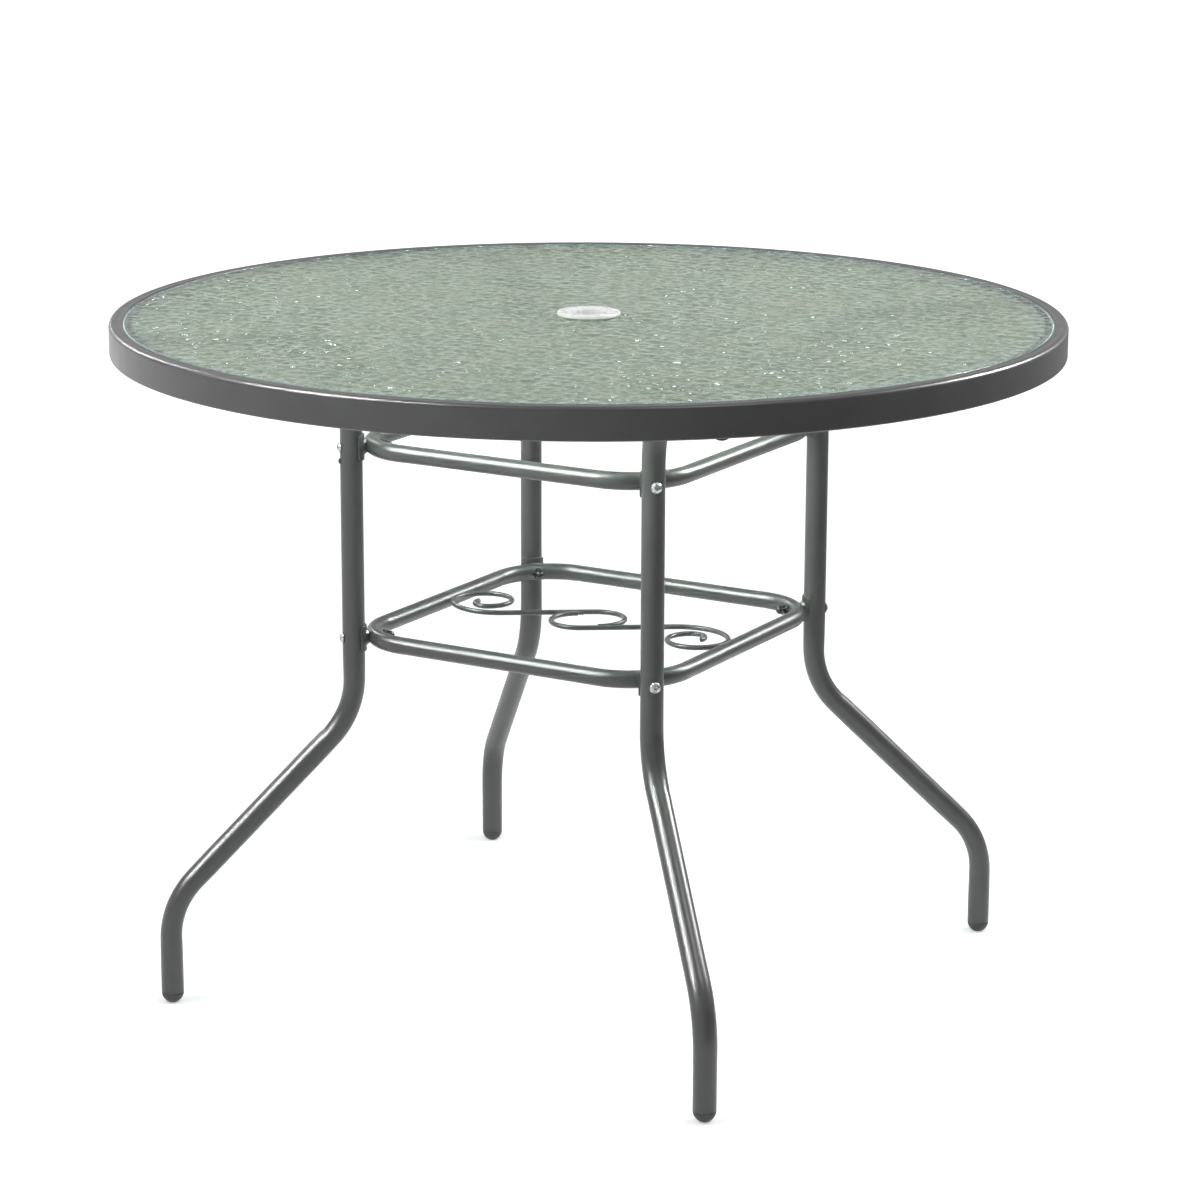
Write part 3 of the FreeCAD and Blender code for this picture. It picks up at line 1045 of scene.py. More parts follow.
@dataclass(frozen=True)
class ClearGlass(Finish):
    """Tinted glass that lets light fall through to what is under it."""

    tint: Tint = (0.42, 0.55, 0.46)
    roughness: Span = (0.09, 0.14)
    fineness: float = 420.0
    mottle: float = 9.0
    relief: float = 0.0009
    grazing_tint: Tint = (0.238, 0.268, 0.216)
    grazing_warmth: Tint = (1.12, 1.0, 0.9)
    grazing_range: Span = (0.4, 0.8)
    # Painted light: tint and radii of the band by the rim that stands in for the bright line along the
    # edge.
    rim_light_tint: Tint = (0.36, 0.44, 0.4)
    rim_light_range: Span = (0.492, 0.514)
    # Partly painted light: the ground edges' green, brightened into a glow.
    edge_glow_tint: Tint = (0.5, 0.95, 0.9)
    edge_range: Span = (0.3, 0.8)
    dimples: float = 115.0
    dimple_smoothness: float = 0.35
    grain_share: float = 0.04
    transmission: float = 0.8
    refraction: float = 1.5
    shade: Tint = (0.95, 0.97, 0.96)

    def tone(self, sheet: Sheet, grain: bpy.types.Node) -> bpy.types.NodeSocket:
        """Draw the tint, deeper at a slant, greyer by the rim and cyan at the ground edges. The rim band,
        paler than the slant tint, is a painted light line along the edge; the cyan is the glass's green
        edge colour brightened into a painted glow.

        Args:
            sheet: The material's nodes.
            grain: The finish's grain.

        Returns:
            The colour.
        """
        slant = sheet.add("ShaderNodeLayerWeight", {"Blend": 0.5}).outputs["Facing"]
        warm = colour(*(part * more for part, more in zip(self.grazing_tint, self.grazing_warmth)))
        deep = sheet.blend(grain.outputs["Mottle"], colour(*self.grazing_tint), warm)
        tone = sheet.blend(sheet.spread(slant, *self.grazing_range), colour(*self.tint), deep)
        # Painted light: a band by the rim, paler than the slanting tint, stands in for the bright line that
        # light gives along the glass's edge.
        level = {0: sheet.place(), 1: (1.0, 1.0, 0.0)}
        flat = sheet.add("ShaderNodeVectorMath", level, operation="MULTIPLY").outputs[0]
        rim_light = sheet.spread(sheet.length(flat), *self.rim_light_range)
        tone = sheet.blend(rim_light, tone, colour(*self.rim_light_tint))
        # Partly painted light: the ground edges take a bright cyan. Real glass edges are green, and the
        # brightness stands in for light glowing through the edge.
        upward = sheet.upward(sheet.add("ShaderNodeNewGeometry").outputs["True Normal"])
        edge = sheet.spread(sheet.maths("ABSOLUTE", upward), *self.edge_range, 1.0, 0.0)
        return sheet.blend(edge, tone, colour(*self.edge_glow_tint))

    def draw(self, sheet: Sheet) -> None:
        """Draw the glass's tint and its fine waves, and let shadow rays through.

        Args:
            sheet: The material's nodes.
        """
        grain = self.grain(sheet)
        tone = self.tone(sheet, grain)
        cells = {"Vector": sheet.place(), "Scale": self.dimples, "Smoothness": self.dimple_smoothness}
        dimple = sheet.add("ShaderNodeTexVoronoi", cells, feature="SMOOTH_F1").outputs["Distance"]
        fine = sheet.maths("MULTIPLY", grain.outputs["Height"], self.grain_share)
        waves = sheet.maths("ADD", dimple, fine)
        others = {"Transmission Weight": self.transmission, "IOR": self.refraction}
        shader = self.surface(sheet, tone, grain, waves, others)
        through = sheet.add("ShaderNodeBsdfTransparent", {"Color": colour(*self.shade)})
        shadow_side = sheet.add("ShaderNodeLightPath").outputs["Is Shadow Ray"]
        mix = sheet.add("ShaderNodeMixShader", {0: shadow_side, 1: shader, 2: through.outputs[0]})
        sheet.finish(mix.outputs[0])


@dataclass(frozen=True)
class ClearPlastic(Finish):
    """Milky white plastic that light shines into."""

    tint: Tint = (0.95, 0.96, 0.95)
    roughness: Span = (0.22, 0.34)
    fineness: float = 900.0
    mottle: float = 120.0
    relief: float = 0.00004
    hollow: Tint = (0.91, 0.925, 0.915)
    transmission: float = 0.06
    specular: float = 0.3
    refraction: float = 1.46

    def draw(self, sheet: Sheet) -> None:
        """Draw the plastic's colour, flow marks and gloss.

        Args:
            sheet: The material's nodes.
        """
        grain = self.grain(sheet)
        tone = sheet.blend(grain.outputs["Mottle"], colour(*self.tint), colour(*self.hollow))
        others = {
            "Transmission Weight": self.transmission,
            "Specular IOR Level": self.specular,
            "IOR": self.refraction,
        }
        sheet.finish(self.surface(sheet, tone, grain, grain.outputs["Height"], others))


PAINT = PaintedSteel("satin_grey_paint")
ZINC = PlatedSteel("bright_zinc")
BLACK_PLATE = PlatedSteel(
    "black_plated_nut", (0.09, 0.09, 0.095), (0.25, 0.42), dark=(0.04, 0.04, 0.042)
)
FOOT_PLASTIC = MouldedPlastic("foot_cap_plastic")
PLUG_PLASTIC = MouldedPlastic("hole_plug_plastic", (0.02, 0.02, 0.02), scuff=(0.04, 0.04, 0.04))
STRIP_VINYL = MouldedPlastic(
    "soft_pale_vinyl", (0.5, 0.56, 0.54), (0.4, 0.55), scuff=(0.6, 0.66, 0.64)
)
RIPPLED_GLASS = ClearGlass("rippled_glass")
POLE_PLASTIC = ClearPlastic("milky_plastic")


@dataclass
class Piece:
    """Piece of the table: its mesh, and what it rides on and stands for."""

    name: str
    shell: Shell
    finish: Finish
    body: Body
    slot: Slot
    nodes: tuple[str, ...] = ()
    sharp_degrees: float = 38.0

    def make(self) -> bpy.types.Object:
        """Make the piece in the scene.

        Returns:
            The piece's object.
        """
        mesh = self.shell.to_mesh(self.name, self.sharp_degrees)
        mesh.materials.append(self.finish.material())
        made = bpy.data.objects.new(self.name, mesh)
        bpy.context.scene.collection.objects.link(made)
        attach(made, self.body.value)
        if self.nodes:
            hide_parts(*self.nodes)
        return made


def steel(name: str, shell: Shell, *nodes: str, sharp_degrees: float = 38.0) -> Piece:
    """Piece of painted steel on the table's frame."""
    return Piece(name, shell, PAINT, Body.TABLE, Slot.PAINTED_STEEL, nodes, sharp_degrees)


def on_each_side(shell: Shell) -> Shell:
    """Repeat a shell at each leg.

    Args:
        shell: The shell as it stands along +X.

    Returns:
        The four shells as one.
    """
    whole = Shell()
    for side in Side:
        whole.add(shell.turned(side.value))
    return whole


def fastener_set(name: str, shell: Shell, finish: Finish, slot: Slot) -> Piece:
    """Piece of like fasteners, one at each leg, for the node of the same plural name."""
    return Piece(name + "_set", on_each_side(shell), finish, Body.TABLE, slot, (name + "s",))


# Sub-assemblies


@dataclass
class RolledRing:
    """Rolled sheet ring with its glass shelf, and the soft strip that lies in it."""

    radius: float = 533.4
    top: float = 772.0
    depth: float = 35.0
    ledge: float = 16.0
    sheet: float = 1.2
    corner: float = 4.5
    inner_corner: float = 1.8
    hem_radius: float = 2.2
    hem_return: float = 4.0
    shelf: float = 11.5
    shelf_top: float = 765.4
    shelf_fillet: float = 0.5
    lip: float = 3.5
    lip_round: float = 0.6
    bead_radius: float = 526.2
    bead_height: float = 0.22
    bead_spread: float = 0.9
    ledge_dip: float = 0.3
    ledge_spare: float = 0.4
    segments: int = 420
    strip_width: float = 9.0
    strip_base: float = 1.2
    strip_wall: float = 0.9
    strip_top: float = 770.4
    strip_crown: float = 0.4
    strip_ease: Span = (0.25, 0.2)
    strip_fillet: Span = (0.3, 0.2)

    def ledge_height(self, radius: float) -> float:
        """Height of the ledge, which dips a little and carries a faint bead.

        Args:
            radius: Distance from the table's axis.

        Returns:
            The height there.
        """
        inner = self.radius - self.ledge + self.inner_corner
        outer = self.radius - self.corner
        share = (radius - inner) / (outer - inner)
        dip = self.ledge_dip * math.sin(math.pi * share)
        bead = self.bead_height * float(bell(np.array(radius - self.bead_radius), self.bead_spread))
        return self.top - dip + bead

    def sheet_outline(self) -> Outline:
        """Draw the sheet's section, from the hem round the ledge to the lip and back.

        Returns:
            The closed outline.
        """
        step = self.radius - self.ledge
        hem_centre = (self.radius - self.hem_radius, self.top - self.depth + self.hem_radius)
        corner_centre = (self.radius - self.corner, self.top - self.corner)
        step_centre = (step + self.inner_corner, self.top - self.inner_corner)
        hem_top = hem_centre[1] + self.hem_return
        hem_inner = self.radius - 2 * self.hem_radius
        shelf_edge = step - self.shelf
        lip_centre = (shelf_edge + self.lip_round, self.shelf_top - self.lip_round)
        lip_foot = self.shelf_top - self.lip
        sheet = self.sheet
        under_ledge = self.top - sheet - self.ledge_spare
        outline = Outline(hem_inner, hem_top).line(hem_inner, hem_centre[1])
        outline.arc(hem_centre, 180, 10).line(self.radius, corner_centre[1])
        outline.arc(corner_centre, 90, 8)
        for radius in np.linspace(corner_centre[0], step_centre[0], 16)[1:]:
            outline.line(float(radius), self.ledge_height(float(radius)))
        outline.arc(step_centre, 90, 6).line(step, self.shelf_top + self.shelf_fillet)
        outline.line(step - self.shelf_fillet, self.shelf_top).line(lip_centre[0], self.shelf_top)
        outline.arc(lip_centre, 90, 4).line(shelf_edge, lip_foot).line(shelf_edge + sheet, lip_foot)
        outline.line(shelf_edge + sheet, self.shelf_top - sheet)
        outline.line(step + sheet, self.shelf_top - sheet).line(step + sheet, under_ledge)
        outline.line(corner_centre[0], under_ledge).arc(corner_centre, -90, 6)
        outline.points[-1] = (self.radius - sheet, corner_centre[1])
        outline.line(self.radius - sheet, hem_centre[1]).arc(hem_centre, -180, 6)
        return outline.line(hem_inner + sheet, hem_top)

    def strip_outline(self) -> Outline:
        """Draw the section of the soft strip: a base under the glass and a wall round it.

        Returns:
            The closed outline.
        """
        outer = self.radius - self.ledge
        wall = outer - self.strip_wall
        base = self.shelf_top + self.strip_base
        shoulder = self.strip_top - self.strip_crown
        outer_ease, inner_ease = self.strip_ease
        in_base, up_wall = self.strip_fillet
        inner = outer - self.strip_width
        outline = Outline(inner, self.shelf_top).line(outer, self.shelf_top)
        outline.line(outer, shoulder).line(outer - outer_ease, self.strip_top)
        outline.line(wall + inner_ease, self.strip_top).line(wall, shoulder)
        return outline.line(wall, base + up_wall).line(wall - in_base, base).line(inner, base)

    def pieces(self) -> list[Piece]:
        """Build the ring and its strip.

        Returns:
            The two pieces.
        """
        ring = spun(self.sheet_outline(), self.segments)
        strip = spun(self.strip_outline(), self.segments)
        return [
            steel("rolled_ring", ring, "table_ring", sharp_degrees=50.0),
            Piece("glazing_strip", strip, STRIP_VINYL, Body.TABLE, Slot.VINYL, ("glass_strip",)),
        ]


@dataclass
class GlassPanel:
    """Glass disc with a rippled upper face: shallow pebbles with soft valleys between them."""

    radius: float = 515.9
    hole_radius: float = 25.4
    top: float = 771.6
    thickness: float = 5.0
    chamfer: float = 0.6
    pitch: float = 2.4
    stretch: float = 1.35
    first_count: int = 72
    under_growth: float = 1.7
    pebble: float = 19.0
    pebble_rise: float = 2.1
    spare_pebbles: int = 5
    sharpness: float = 9.0
    unevenness: float = 0.25
    groove: float = 0.32
    groove_width: float = 3.2
    scatter: float = 0.55
    swirl: Span = (250.0, -300.0)
    swirl_pitch: float = 24.0
    swirl_depth: float = 0.22
    swirl_reach: float = 85.0
    rim_slope: float = 1.5
    rim_fade: float = 6.0
    hole_fade: float = 4.0
    seed: int = 11
    pillows: np.ndarray = field(init=False, repr=False)

    def __post_init__(self) -> None:
        """Scatter the pebbles' middles on an uneven lattice."""
        draw = np.random.default_rng(self.seed)
        count = int(2 * self.radius / self.pebble) + self.spare_pebbles
        self.pillows = draw.uniform(-0.5, 0.5, (count, count, 3)) * self.scatter

    def ripple(self, across: np.ndarray, deep: np.ndarray) -> np.ndarray:
        """Depth of the surface under its highest level.

        Args:
            across: X of each point.
            deep: Y of each point.

        Returns:
            Depths, from 0 on the crest of a pebble.
        """
        middle = len(self.pillows) // 2
        column = np.floor(across / self.pebble).astype(int)
        row = np.floor(deep / self.pebble).astype(int)
        closeness = np.zeros_like(across)
        first = np.full_like(across, np.inf)
        second = np.full_like(across, np.inf)
        for over in (-1, 0, 1):
            for along in (-1, 0, 1):
                shift = self.pillows[column + over + middle, row + along + middle]
                centre_x = (column + over + 0.5 + shift[:, 0]) * self.pebble
                centre_y = (row + along + 0.5 + shift[:, 1]) * self.pebble
                apart = ((across - centre_x) ** 2 + (deep - centre_y) ** 2) / self.pebble**2
                closeness += np.exp(-self.sharpness * (apart + self.unevenness * shift[:, 2]))
                gap = np.sqrt(apart) * self.pebble
                second = np.minimum(second, np.maximum(first, gap))
                first = np.minimum(first, gap)
        nearest = -np.log(closeness) / self.sharpness
        grooves = self.groove * bell(second - first, self.groove_width)
        from_swirl = np.hypot(across - self.swirl[0], deep - self.swirl[1])
        rings = np.cos(2 * math.pi * from_swirl / self.swirl_pitch) * bell(from_swirl, self.swirl_reach)
        return self.pebble_rise * (nearest - nearest.min()) + grooves + self.swirl_depth * rings

    def face_loops(self) -> list[np.ndarray]:
        """Draw the loops of the rippled face, from the hole outwards.

        Returns:
            The points of each loop.
        """
        inner = self.hole_radius + self.chamfer
        outer = self.radius - self.chamfer
        loops = []
        count = self.first_count
        for radius in np.linspace(inner, outer, round((outer - inner) / self.pitch)):
            if radius * 2 * math.pi / count > self.stretch * self.pitch:
                count *= 2
            loops.append(level_loop(radius, angles_round(count), 0.0))
        points = np.concatenate(loops)
        radius = np.hypot(points[:, 0], points[:, 1])
        depths = self.ripple(points[:, 0], points[:, 1])
        depths = depths - depths.min()
        border = depths.mean() * np.clip((outer - radius) / self.rim_slope, 0.0, 1.0)
        depths = border + (depths - border) * np.clip((outer - radius) / self.rim_fade, 0.0, 1.0)
        points[:, 2] = self.top - depths * np.clip((radius - inner) / self.hole_fade, 0.0, 1.0)
        ends = np.cumsum([len(loop) for loop in loops])[:-1]
        return np.split(points, ends)

    def edge_loops(self, shell: Shell, ground: float, inset: float, count: int) -> list[Loop]:
        """Add the loops of a ground edge, from the upper face down to the underside.

        Args:
            shell: Shell that takes the loops.
            ground: Radius of the edge.
            inset: Radius that the edge has at the underside.
            count: Points in each loop.

        Returns:
            The indexes of each loop.
        """
        bottom = self.top - self.thickness
        stations = (
            (ground, self.top - self.chamfer),
            (ground, bottom + self.chamfer),
            (inset, bottom),
        )
        return [shell.loop(level_loop(radius, angles_round(count), height)) for radius, height in stations]

    def shell(self) -> Shell:
        """Join the rippled face, the ground edges and the flat underside.

        Returns:
            The closed shell.
        """
        shell = Shell()
        upper = shell.skin(self.face_loops())
        outer_count = len(upper[-1])
        rim = self.edge_loops(shell, self.radius, self.radius - self.chamfer, outer_count)
        radius = self.hole_radius + self.chamfer
        hole = self.edge_loops(shell, self.hole_radius, radius, len(upper[0]))
        for face_edge, loops in ((upper[-1], rim), (upper[0], hole)):
            for first, second in zip([face_edge] + loops, loops):
                shell.bridge(first, second)
        here = hole[-1]
        while len(here) < outer_count:
            radius *= self.under_growth
            points = level_loop(radius, angles_round(2 * len(here)), self.top - self.thickness)
            finer = shell.loop(points)
            shell.bridge(here, finer)
            here = finer
        shell.bridge(here, rim[-1])
        return shell

    def pieces(self) -> list[Piece]:
        """The glass."""
        shell = self.shell()
        return [Piece("rippled_glass_top", shell, RIPPLED_GLASS, Body.GLASS, Slot.GLASS, ("glass_top",))]


@dataclass
class PoleRing:
    """Flanged ring of milky plastic with short ribs that centre the pole."""

    bore: float = 19.5
    wall_radius: float = 20.6
    sleeve_radius: float = 25.1
    flange_radius: float = 35.5
    flange: float = 3.5
    flange_round: float = 1.5
    flange_dip: Span = (3.0, 0.1)
    flange_lift: float = 0.1
    flange_corner: Span = (0.4, 0.5)
    edge_drop: float = 0.02
    glass_top: float = 771.6
    sleeve: float = 20.0
    taper: float = 1.5
    neck: Span = (0.5, 0.4)
    foot_ease: Span = (0.6, 0.8)
    rib_foot: float = 3.0
    mouth: float = 2.6
    mouth_round: float = 2.0
    mouth_slope: tuple[Span, ...] = ((2.6, 0.35), (3.6, 0.05), (4.4, 0.0))
    ribs: int = 12
    rib_width: float = 0.09
    rib_flat: float = 1.6
    rib_depth: float = 1.0
    segments: int = 240

    def outline(self) -> Outline:
        """Draw the section from the sleeve's foot up the bore and over the flange.

        Returns:
            The closed outline.
        """
        low = self.glass_top - self.sleeve
        high = self.glass_top + self.flange
        lifted = self.glass_top + self.flange_lift
        outline = Outline(self.bore + self.foot_ease[0], low).line(self.bore, low + self.foot_ease[1])
        for height in np.linspace(low + self.rib_foot, high - self.mouth, 6):
            outline.line(self.bore, float(height))
        outline.arc((self.bore + self.mouth_round, high - self.mouth), -60, 4)
        for out, down in self.mouth_slope:
            outline.line(self.bore + out, high - down)
        outline.line(self.flange_radius - self.flange_dip[0], high - self.flange_dip[1])
        crown = self.flange_radius - self.flange_round
        outline.line(crown, high - self.edge_drop)
        outline.arc((crown, high - self.edge_drop - self.flange_round), -90, 6)
        outline.line(self.flange_radius, self.glass_top + self.flange_corner[1])
        outline.line(self.flange_radius - self.flange_corner[0], lifted)
        outline.line(self.sleeve_radius + self.neck[0], lifted)
        outline.line(self.sleeve_radius, self.glass_top - self.neck[1])
        outline.line(self.sleeve_radius, low + 2 * self.taper)
        return outline.line(self.sleeve_radius - self.taper, low)

    def ribbed(self, radius: float, _height: float, angles: np.ndarray) -> np.ndarray:
        """Set the bore's wall back between the ribs.

        Args:
            radius: Radius of the outline's point.
            _height: Height of the point, which makes no difference.
            angles: Angle of each point.

        Returns:
            Radius at each angle.
        """
        if radius > self.bore + self.rib_depth:
            return np.full(len(angles), radius)
        pitch = 2 * math.pi / self.ribs
        from_rib = np.mod(angles + pitch / 2, pitch) - pitch / 2
        rib = np.clip(self.rib_flat - np.abs(from_rib) / self.rib_width, 0, 1)
        return radius + (self.wall_radius - self.bore) * (1 - rib)

    def pieces(self) -> list[Piece]:
        """Build the pole ring.

        Returns:
            The one piece.
        """
        shell = spun(self.outline(), self.segments, shape=self.ribbed)
        return [
            Piece("pole_ring_moulding", shell, POLE_PLASTIC, Body.POLE_RING, Slot.WHITE_PLASTIC,
                  ("umbrella_ring",), sharp_degrees=30.0)
        ]


@dataclass
class Leg:
    """Bent leg tube with its foot cap."""

    side: Side
    dents: tuple[Dent, ...] = ()
    tube_radius: float = 12.7
    wall: float = 1.2
    foot_radius: float = 487.0
    upright_radius: float = 272.3
    low_knee: float = 116.0
    high_knee: float = 328.5
    knee_bend: float = 95.0
    arm_height: float = 745.5
    arm_bend: float = 90.0
    arm_end: float = 522.0
    flattening: float = 0.45
    chamfer: float = 0.4
    dome: float = 12.7
    foot_flat: float = 4.5
    foot_ease: float = 0.6
    pinhole: float = 0.4
    groove: float = 0.7
    plug_length: float = 18.0
    plug_gap: float = 0.1
    plug_ease: float = 1.5

    def tube(self) -> Shell:
        """Sweep the tube from the foot to the end of the arm.

        Returns:
            The tube with its wall and dents.
        """
        line = CentreLine.through(
            [
                (self.foot_radius, self.dome),
                (self.foot_radius, self.low_knee),
                (self.upright_radius, self.high_knee),
                (self.upright_radius, self.arm_height),
                (self.arm_end, self.arm_height),
            ],
            [self.knee_bend, self.knee_bend, self.arm_bend],
            step=4.0,
        )
        bar = Bar(self.tube_radius, self.wall, 48, self.flattening, self.chamfer, self.dents)
        return bar.swept(line, Plane.upright(self.side.value))

    def foot_cap(self) -> Shell:
        """Spin the domed cap, with a groove under the tube and a plug inside it.

        Returns:
            The cap at the leg's foot.
        """
        inset = self.tube_radius - self.foot_flat
        ball = ball_radius(self.dome, inset)
        centre = (self.tube_radius - ball, self.dome)
        start = math.asin(self.dome / ball)
        turn = math.degrees(math.asin((self.dome - self.groove) / ball))
        bore = self.tube_radius - self.wall - self.plug_gap
        top = self.dome + self.plug_length
        outline = Outline(self.pinhole, 0.0).line(self.foot_flat - self.foot_ease, 0.0)
        outline.line(centre[0] + ball * math.cos(start), centre[1] - ball * math.sin(start))
        outline.arc(centre, turn, 14).line(self.tube_radius - self.groove, self.dome)
        outline.line(bore, self.dome).line(bore, top - self.plug_ease)
        outline.line(bore - self.plug_ease, top).line(self.pinhole, top)
        cap = spun(outline, 48, closed=False)
        away = direction(self.side.value) * self.foot_radius
        return cap.moved(Matrix.Translation(Vector(away)))

    def pieces(self) -> list[Piece]:
        """Build the leg tube and its foot cap.

        Returns:
            The two pieces.
        """
        word = self.side.word
        return [
            steel(word + "_leg_tube", self.tube(), "leg_" + word),
            Piece(word + "_foot_cap", self.foot_cap(), FOOT_PLASTIC, Body.TABLE, Slot.BLACK_PLASTIC,
                  ("foot_cap_" + word,)),
        ]


@dataclass
class SquareFrame:
    """Square tube frame with the welds that fill the corners against its saddles."""

    level: Level
    tube_radius: float = 9.525
    bend: float = 70.0
    flattening: float = 0.5
    saddle_face: float = 257.4
    saddle_radius: float = 14.9
    upright_radius: float = 272.3
    weld_reach: float = 4.0
    weld_narrow: float = 6.5
    weld_wide: float = 9.6
    weld_flare: float = 1.3
    weld_bite: float = 0.2
    weld_lumps: float = 0.09
    lumps_round: float = 3.1
    lumps_along: float = 1.4
    crease: float = 0.45
    crease_length: float = 2.2
    crease_width: float = 34.0
    crease_angles: Span = (40.0, -60.0)

    @property
    def half_side(self) -> float:
        """Distance of the sides' centre lines from the middle."""
        corner = self.saddle_face - self.tube_radius
        return (corner + (math.sqrt(2) - 1) * self.bend) / math.sqrt(2)

    def creases(self) -> tuple[Dent, ...]:
        """Crease the inside of the tube where each bend starts and ends.

        Returns:
            The creases.
        """
        run = self.half_side - self.bend
        quarter = self.bend * math.pi / 2
        starts = [run + index * (quarter + 2 * run) for index in range(4)]
        places = starts + [start + quarter for start in starts]
        return tuple(
            Dent(place, angle, self.crease, self.crease_length, self.crease_width)
            for place in places
            for angle in self.crease_angles
        )

    def tube(self) -> Shell:
        """Sweep the tube round the square, from the middle of the front side.

        Returns:
            The closed tube.
        """
        half = self.half_side
        run = half - self.bend
        line = CentreLine((0.0, -half), 0.0, step=2.5).run(run).bend(self.bend, 90)
        for _side in range(3):
            line.run(2 * run).bend(self.bend, 90)
        line.run(run)
        bar = Bar(self.tube_radius, flattening=self.flattening, dents=self.creases())
        return bar.swept(line, Plane.level(self.level.value), closed=True)

    def corner_weld(self) -> Shell:
        """Make the lumpy collar between a corner and its saddle.

        Returns:
            The collar, along +X at height zero.
        """
        angles = angles_round(44)
        start = self.saddle_face - self.weld_reach
        loops = []
        for share in np.linspace(0, 1, 8):
            radius = self.weld_narrow + (self.weld_wide - self.weld_narrow) * share**self.weld_flare
            spots = level_loop(self.lumps_round, angles, share * self.lumps_along)
            lumps = np.array([noise.noise(Vector(spot)) for spot in spots])
            radii = radius * (1 + self.weld_lumps * lumps)
            sideways = radii * np.cos(angles)
            upwards = radii * np.sin(angles)
            saddle = self.upright_radius - np.sqrt(self.saddle_radius**2 - sideways**2)
            reach = saddle + self.weld_bite
            loops.append(np.stack([start + (reach - start) * share, sideways, upwards], axis=1))
        shell = Shell()
        shell.rod(loops)
        return shell

    def pieces(self) -> list[Piece]:
        """Build the frame's tube and its four welds.

        Returns:
            The tube, and the welds as one piece.
        """
        word = self.level.word
        weld = self.corner_weld().moved(Matrix.Translation((0, 0, self.level.value)))
        return [
            steel(word + "_frame_tube", self.tube(), word + "_frame"),
            steel(word + "_frame_welds", on_each_side(weld), sharp_degrees=70.0),
        ]


@dataclass
class Fastener:
    """Domed bolt with a hex socket, and the nuts and washers that go with it."""

    shank: float = 3.0
    shank_ease: float = 0.5
    head_radius: float = 6.2
    head: float = 3.4
    head_ease: Span = (0.3, 0.25)
    dome_start: float = 0.05
    socket: float = 4.0
    socket_depth: float = 1.8
    socket_ease: Span = (0.25, 0.12)
    socket_cone: float = 0.2
    pinhole: float = 0.3
    nut_flats: float = 10.0
    nut_spare: float = 0.05
    nut_corners: Span = (0.45, 0.55)
    thread_ease: float = 0.4
    open_corners: Span = (0.35, 0.4)
    washer_ease: float = 0.15
    washer_rim: Span = (0.2, 0.3)
    segments: int = 48

    @property
    def nut_corner(self) -> float:
        """Distance of a nut's corners from its axis."""
        return self.nut_flats / math.sqrt(3)

    def bolt(self, length: float) -> Shell:
        """Spin a bolt with its shank down from height zero and its head above.

        Args:
            length: Length of the shank.

        Returns:
            The bolt.
        """
        ball = ball_radius(self.head_radius, self.head)
        centre = (0.0, self.head - ball)
        start = math.asin((ball - self.head) / ball) + self.dome_start
        reach = self.socket / math.sqrt(3)
        rim_angle = math.acos((reach + self.socket_ease[0]) / ball)
        floor = self.head - self.socket_depth
        tip = -length
        outline = Outline(self.pinhole, tip).line(self.shank - self.shank_ease, tip)
        outline.line(self.shank, tip + self.shank_ease).line(self.shank, 0.0)
        outline.line(self.head_radius - self.head_ease[0], 0.0).line(self.head_radius, self.head_ease[1])
        outline.line(ball * math.cos(start), centre[1] + ball * math.sin(start))
        outline.arc(centre, math.degrees(rim_angle - start), 10)
        outline.line(reach, outline.points[-1][1] - self.socket_ease[1]).line(reach, floor)
        outline.line(self.pinhole, floor - self.socket_cone)
        cut = hexagon(self.socket)
        lowest = floor - self.socket_cone / 2

        def shape(radius: float, height: float, angles: np.ndarray) -> np.ndarray:
            """Take a hexagon in the socket and a circle elsewhere.

            Args:
                radius: Radius of the outline's point.
                height: Height of the point.
                angles: Angle of each point.

            Returns:
                Radius at each angle.
            """
            if radius <= reach and height >= lowest:
                return cut(radius, height, angles)
            return np.full(len(angles), radius)

        return spun(outline, self.segments, closed=False, shape=shape)

    def washer(self, radius: float, hole: float, thickness: float) -> Shell:
        """Spin a flat washer that stands on height zero.

        Args:
            radius: Radius of the washer.
            hole: Radius of its hole.
            thickness: Thickness of the washer.

        Returns:
            The washer.
        """
        ease = self.washer_ease
        low, high = self.washer_rim
        outline = Outline(hole, ease).line(hole + ease, 0.0).line(radius - low, 0.0)
        outline.line(radius, low).line(radius, thickness - high).line(radius - high, thickness)
        outline.line(hole + ease, thickness).line(hole, thickness - ease)
        return spun(outline, self.segments)

    def cap_nut(self, hex_height: float, height: float, dome: float) -> Shell:
        """Spin a closed cap nut that stands on height zero.

        Args:
            hex_height: Height of the six-sided part.
            height: Height of the whole nut.
            dome: Radius of the dome.

        Returns:
            The nut.
        """
        corner = self.nut_corner
        flat = self.nut_flats / 2
        low, high = self.nut_corners
        outline = Outline(self.pinhole, 0.0).line(flat, 0.0).line(corner, low)
        outline.line(corner, hex_height - high).line(flat + self.nut_spare, hex_height)
        outline.line(dome, hex_height).line(dome, height - dome).arc((0.0, height - dome), 86, 9)
        return spun(outline, self.segments, closed=False, shape=hexagon(self.nut_flats))

    def weld_nut(self, height: float) -> Shell:
        """Spin an open hexagon nut that stands on height zero.

        Args:
            height: Height of the nut.

        Returns:
            The nut.
        """
        corner = self.nut_corner
        flat = self.nut_flats / 2
        low, high = self.open_corners
        ease = self.thread_ease
        bore = self.shank + self.nut_spare
        outline = Outline(bore, ease).line(bore + ease, 0.0).line(flat, 0.0).line(corner, low)
        outline.line(corner, height - high).line(flat + self.nut_spare, height)
        outline.line(bore + ease, height).line(bore, height - ease)
        return spun(outline, self.segments, shape=hexagon(self.nut_flats))


def outwards(radius: float, height: float) -> Matrix:
    """Matrix that lays what was made along +Z out along +X, at a radius and height."""
    return Matrix.Translation((radius, 0, height)) @ Matrix.Rotation(math.pi / 2, 4, "Y")


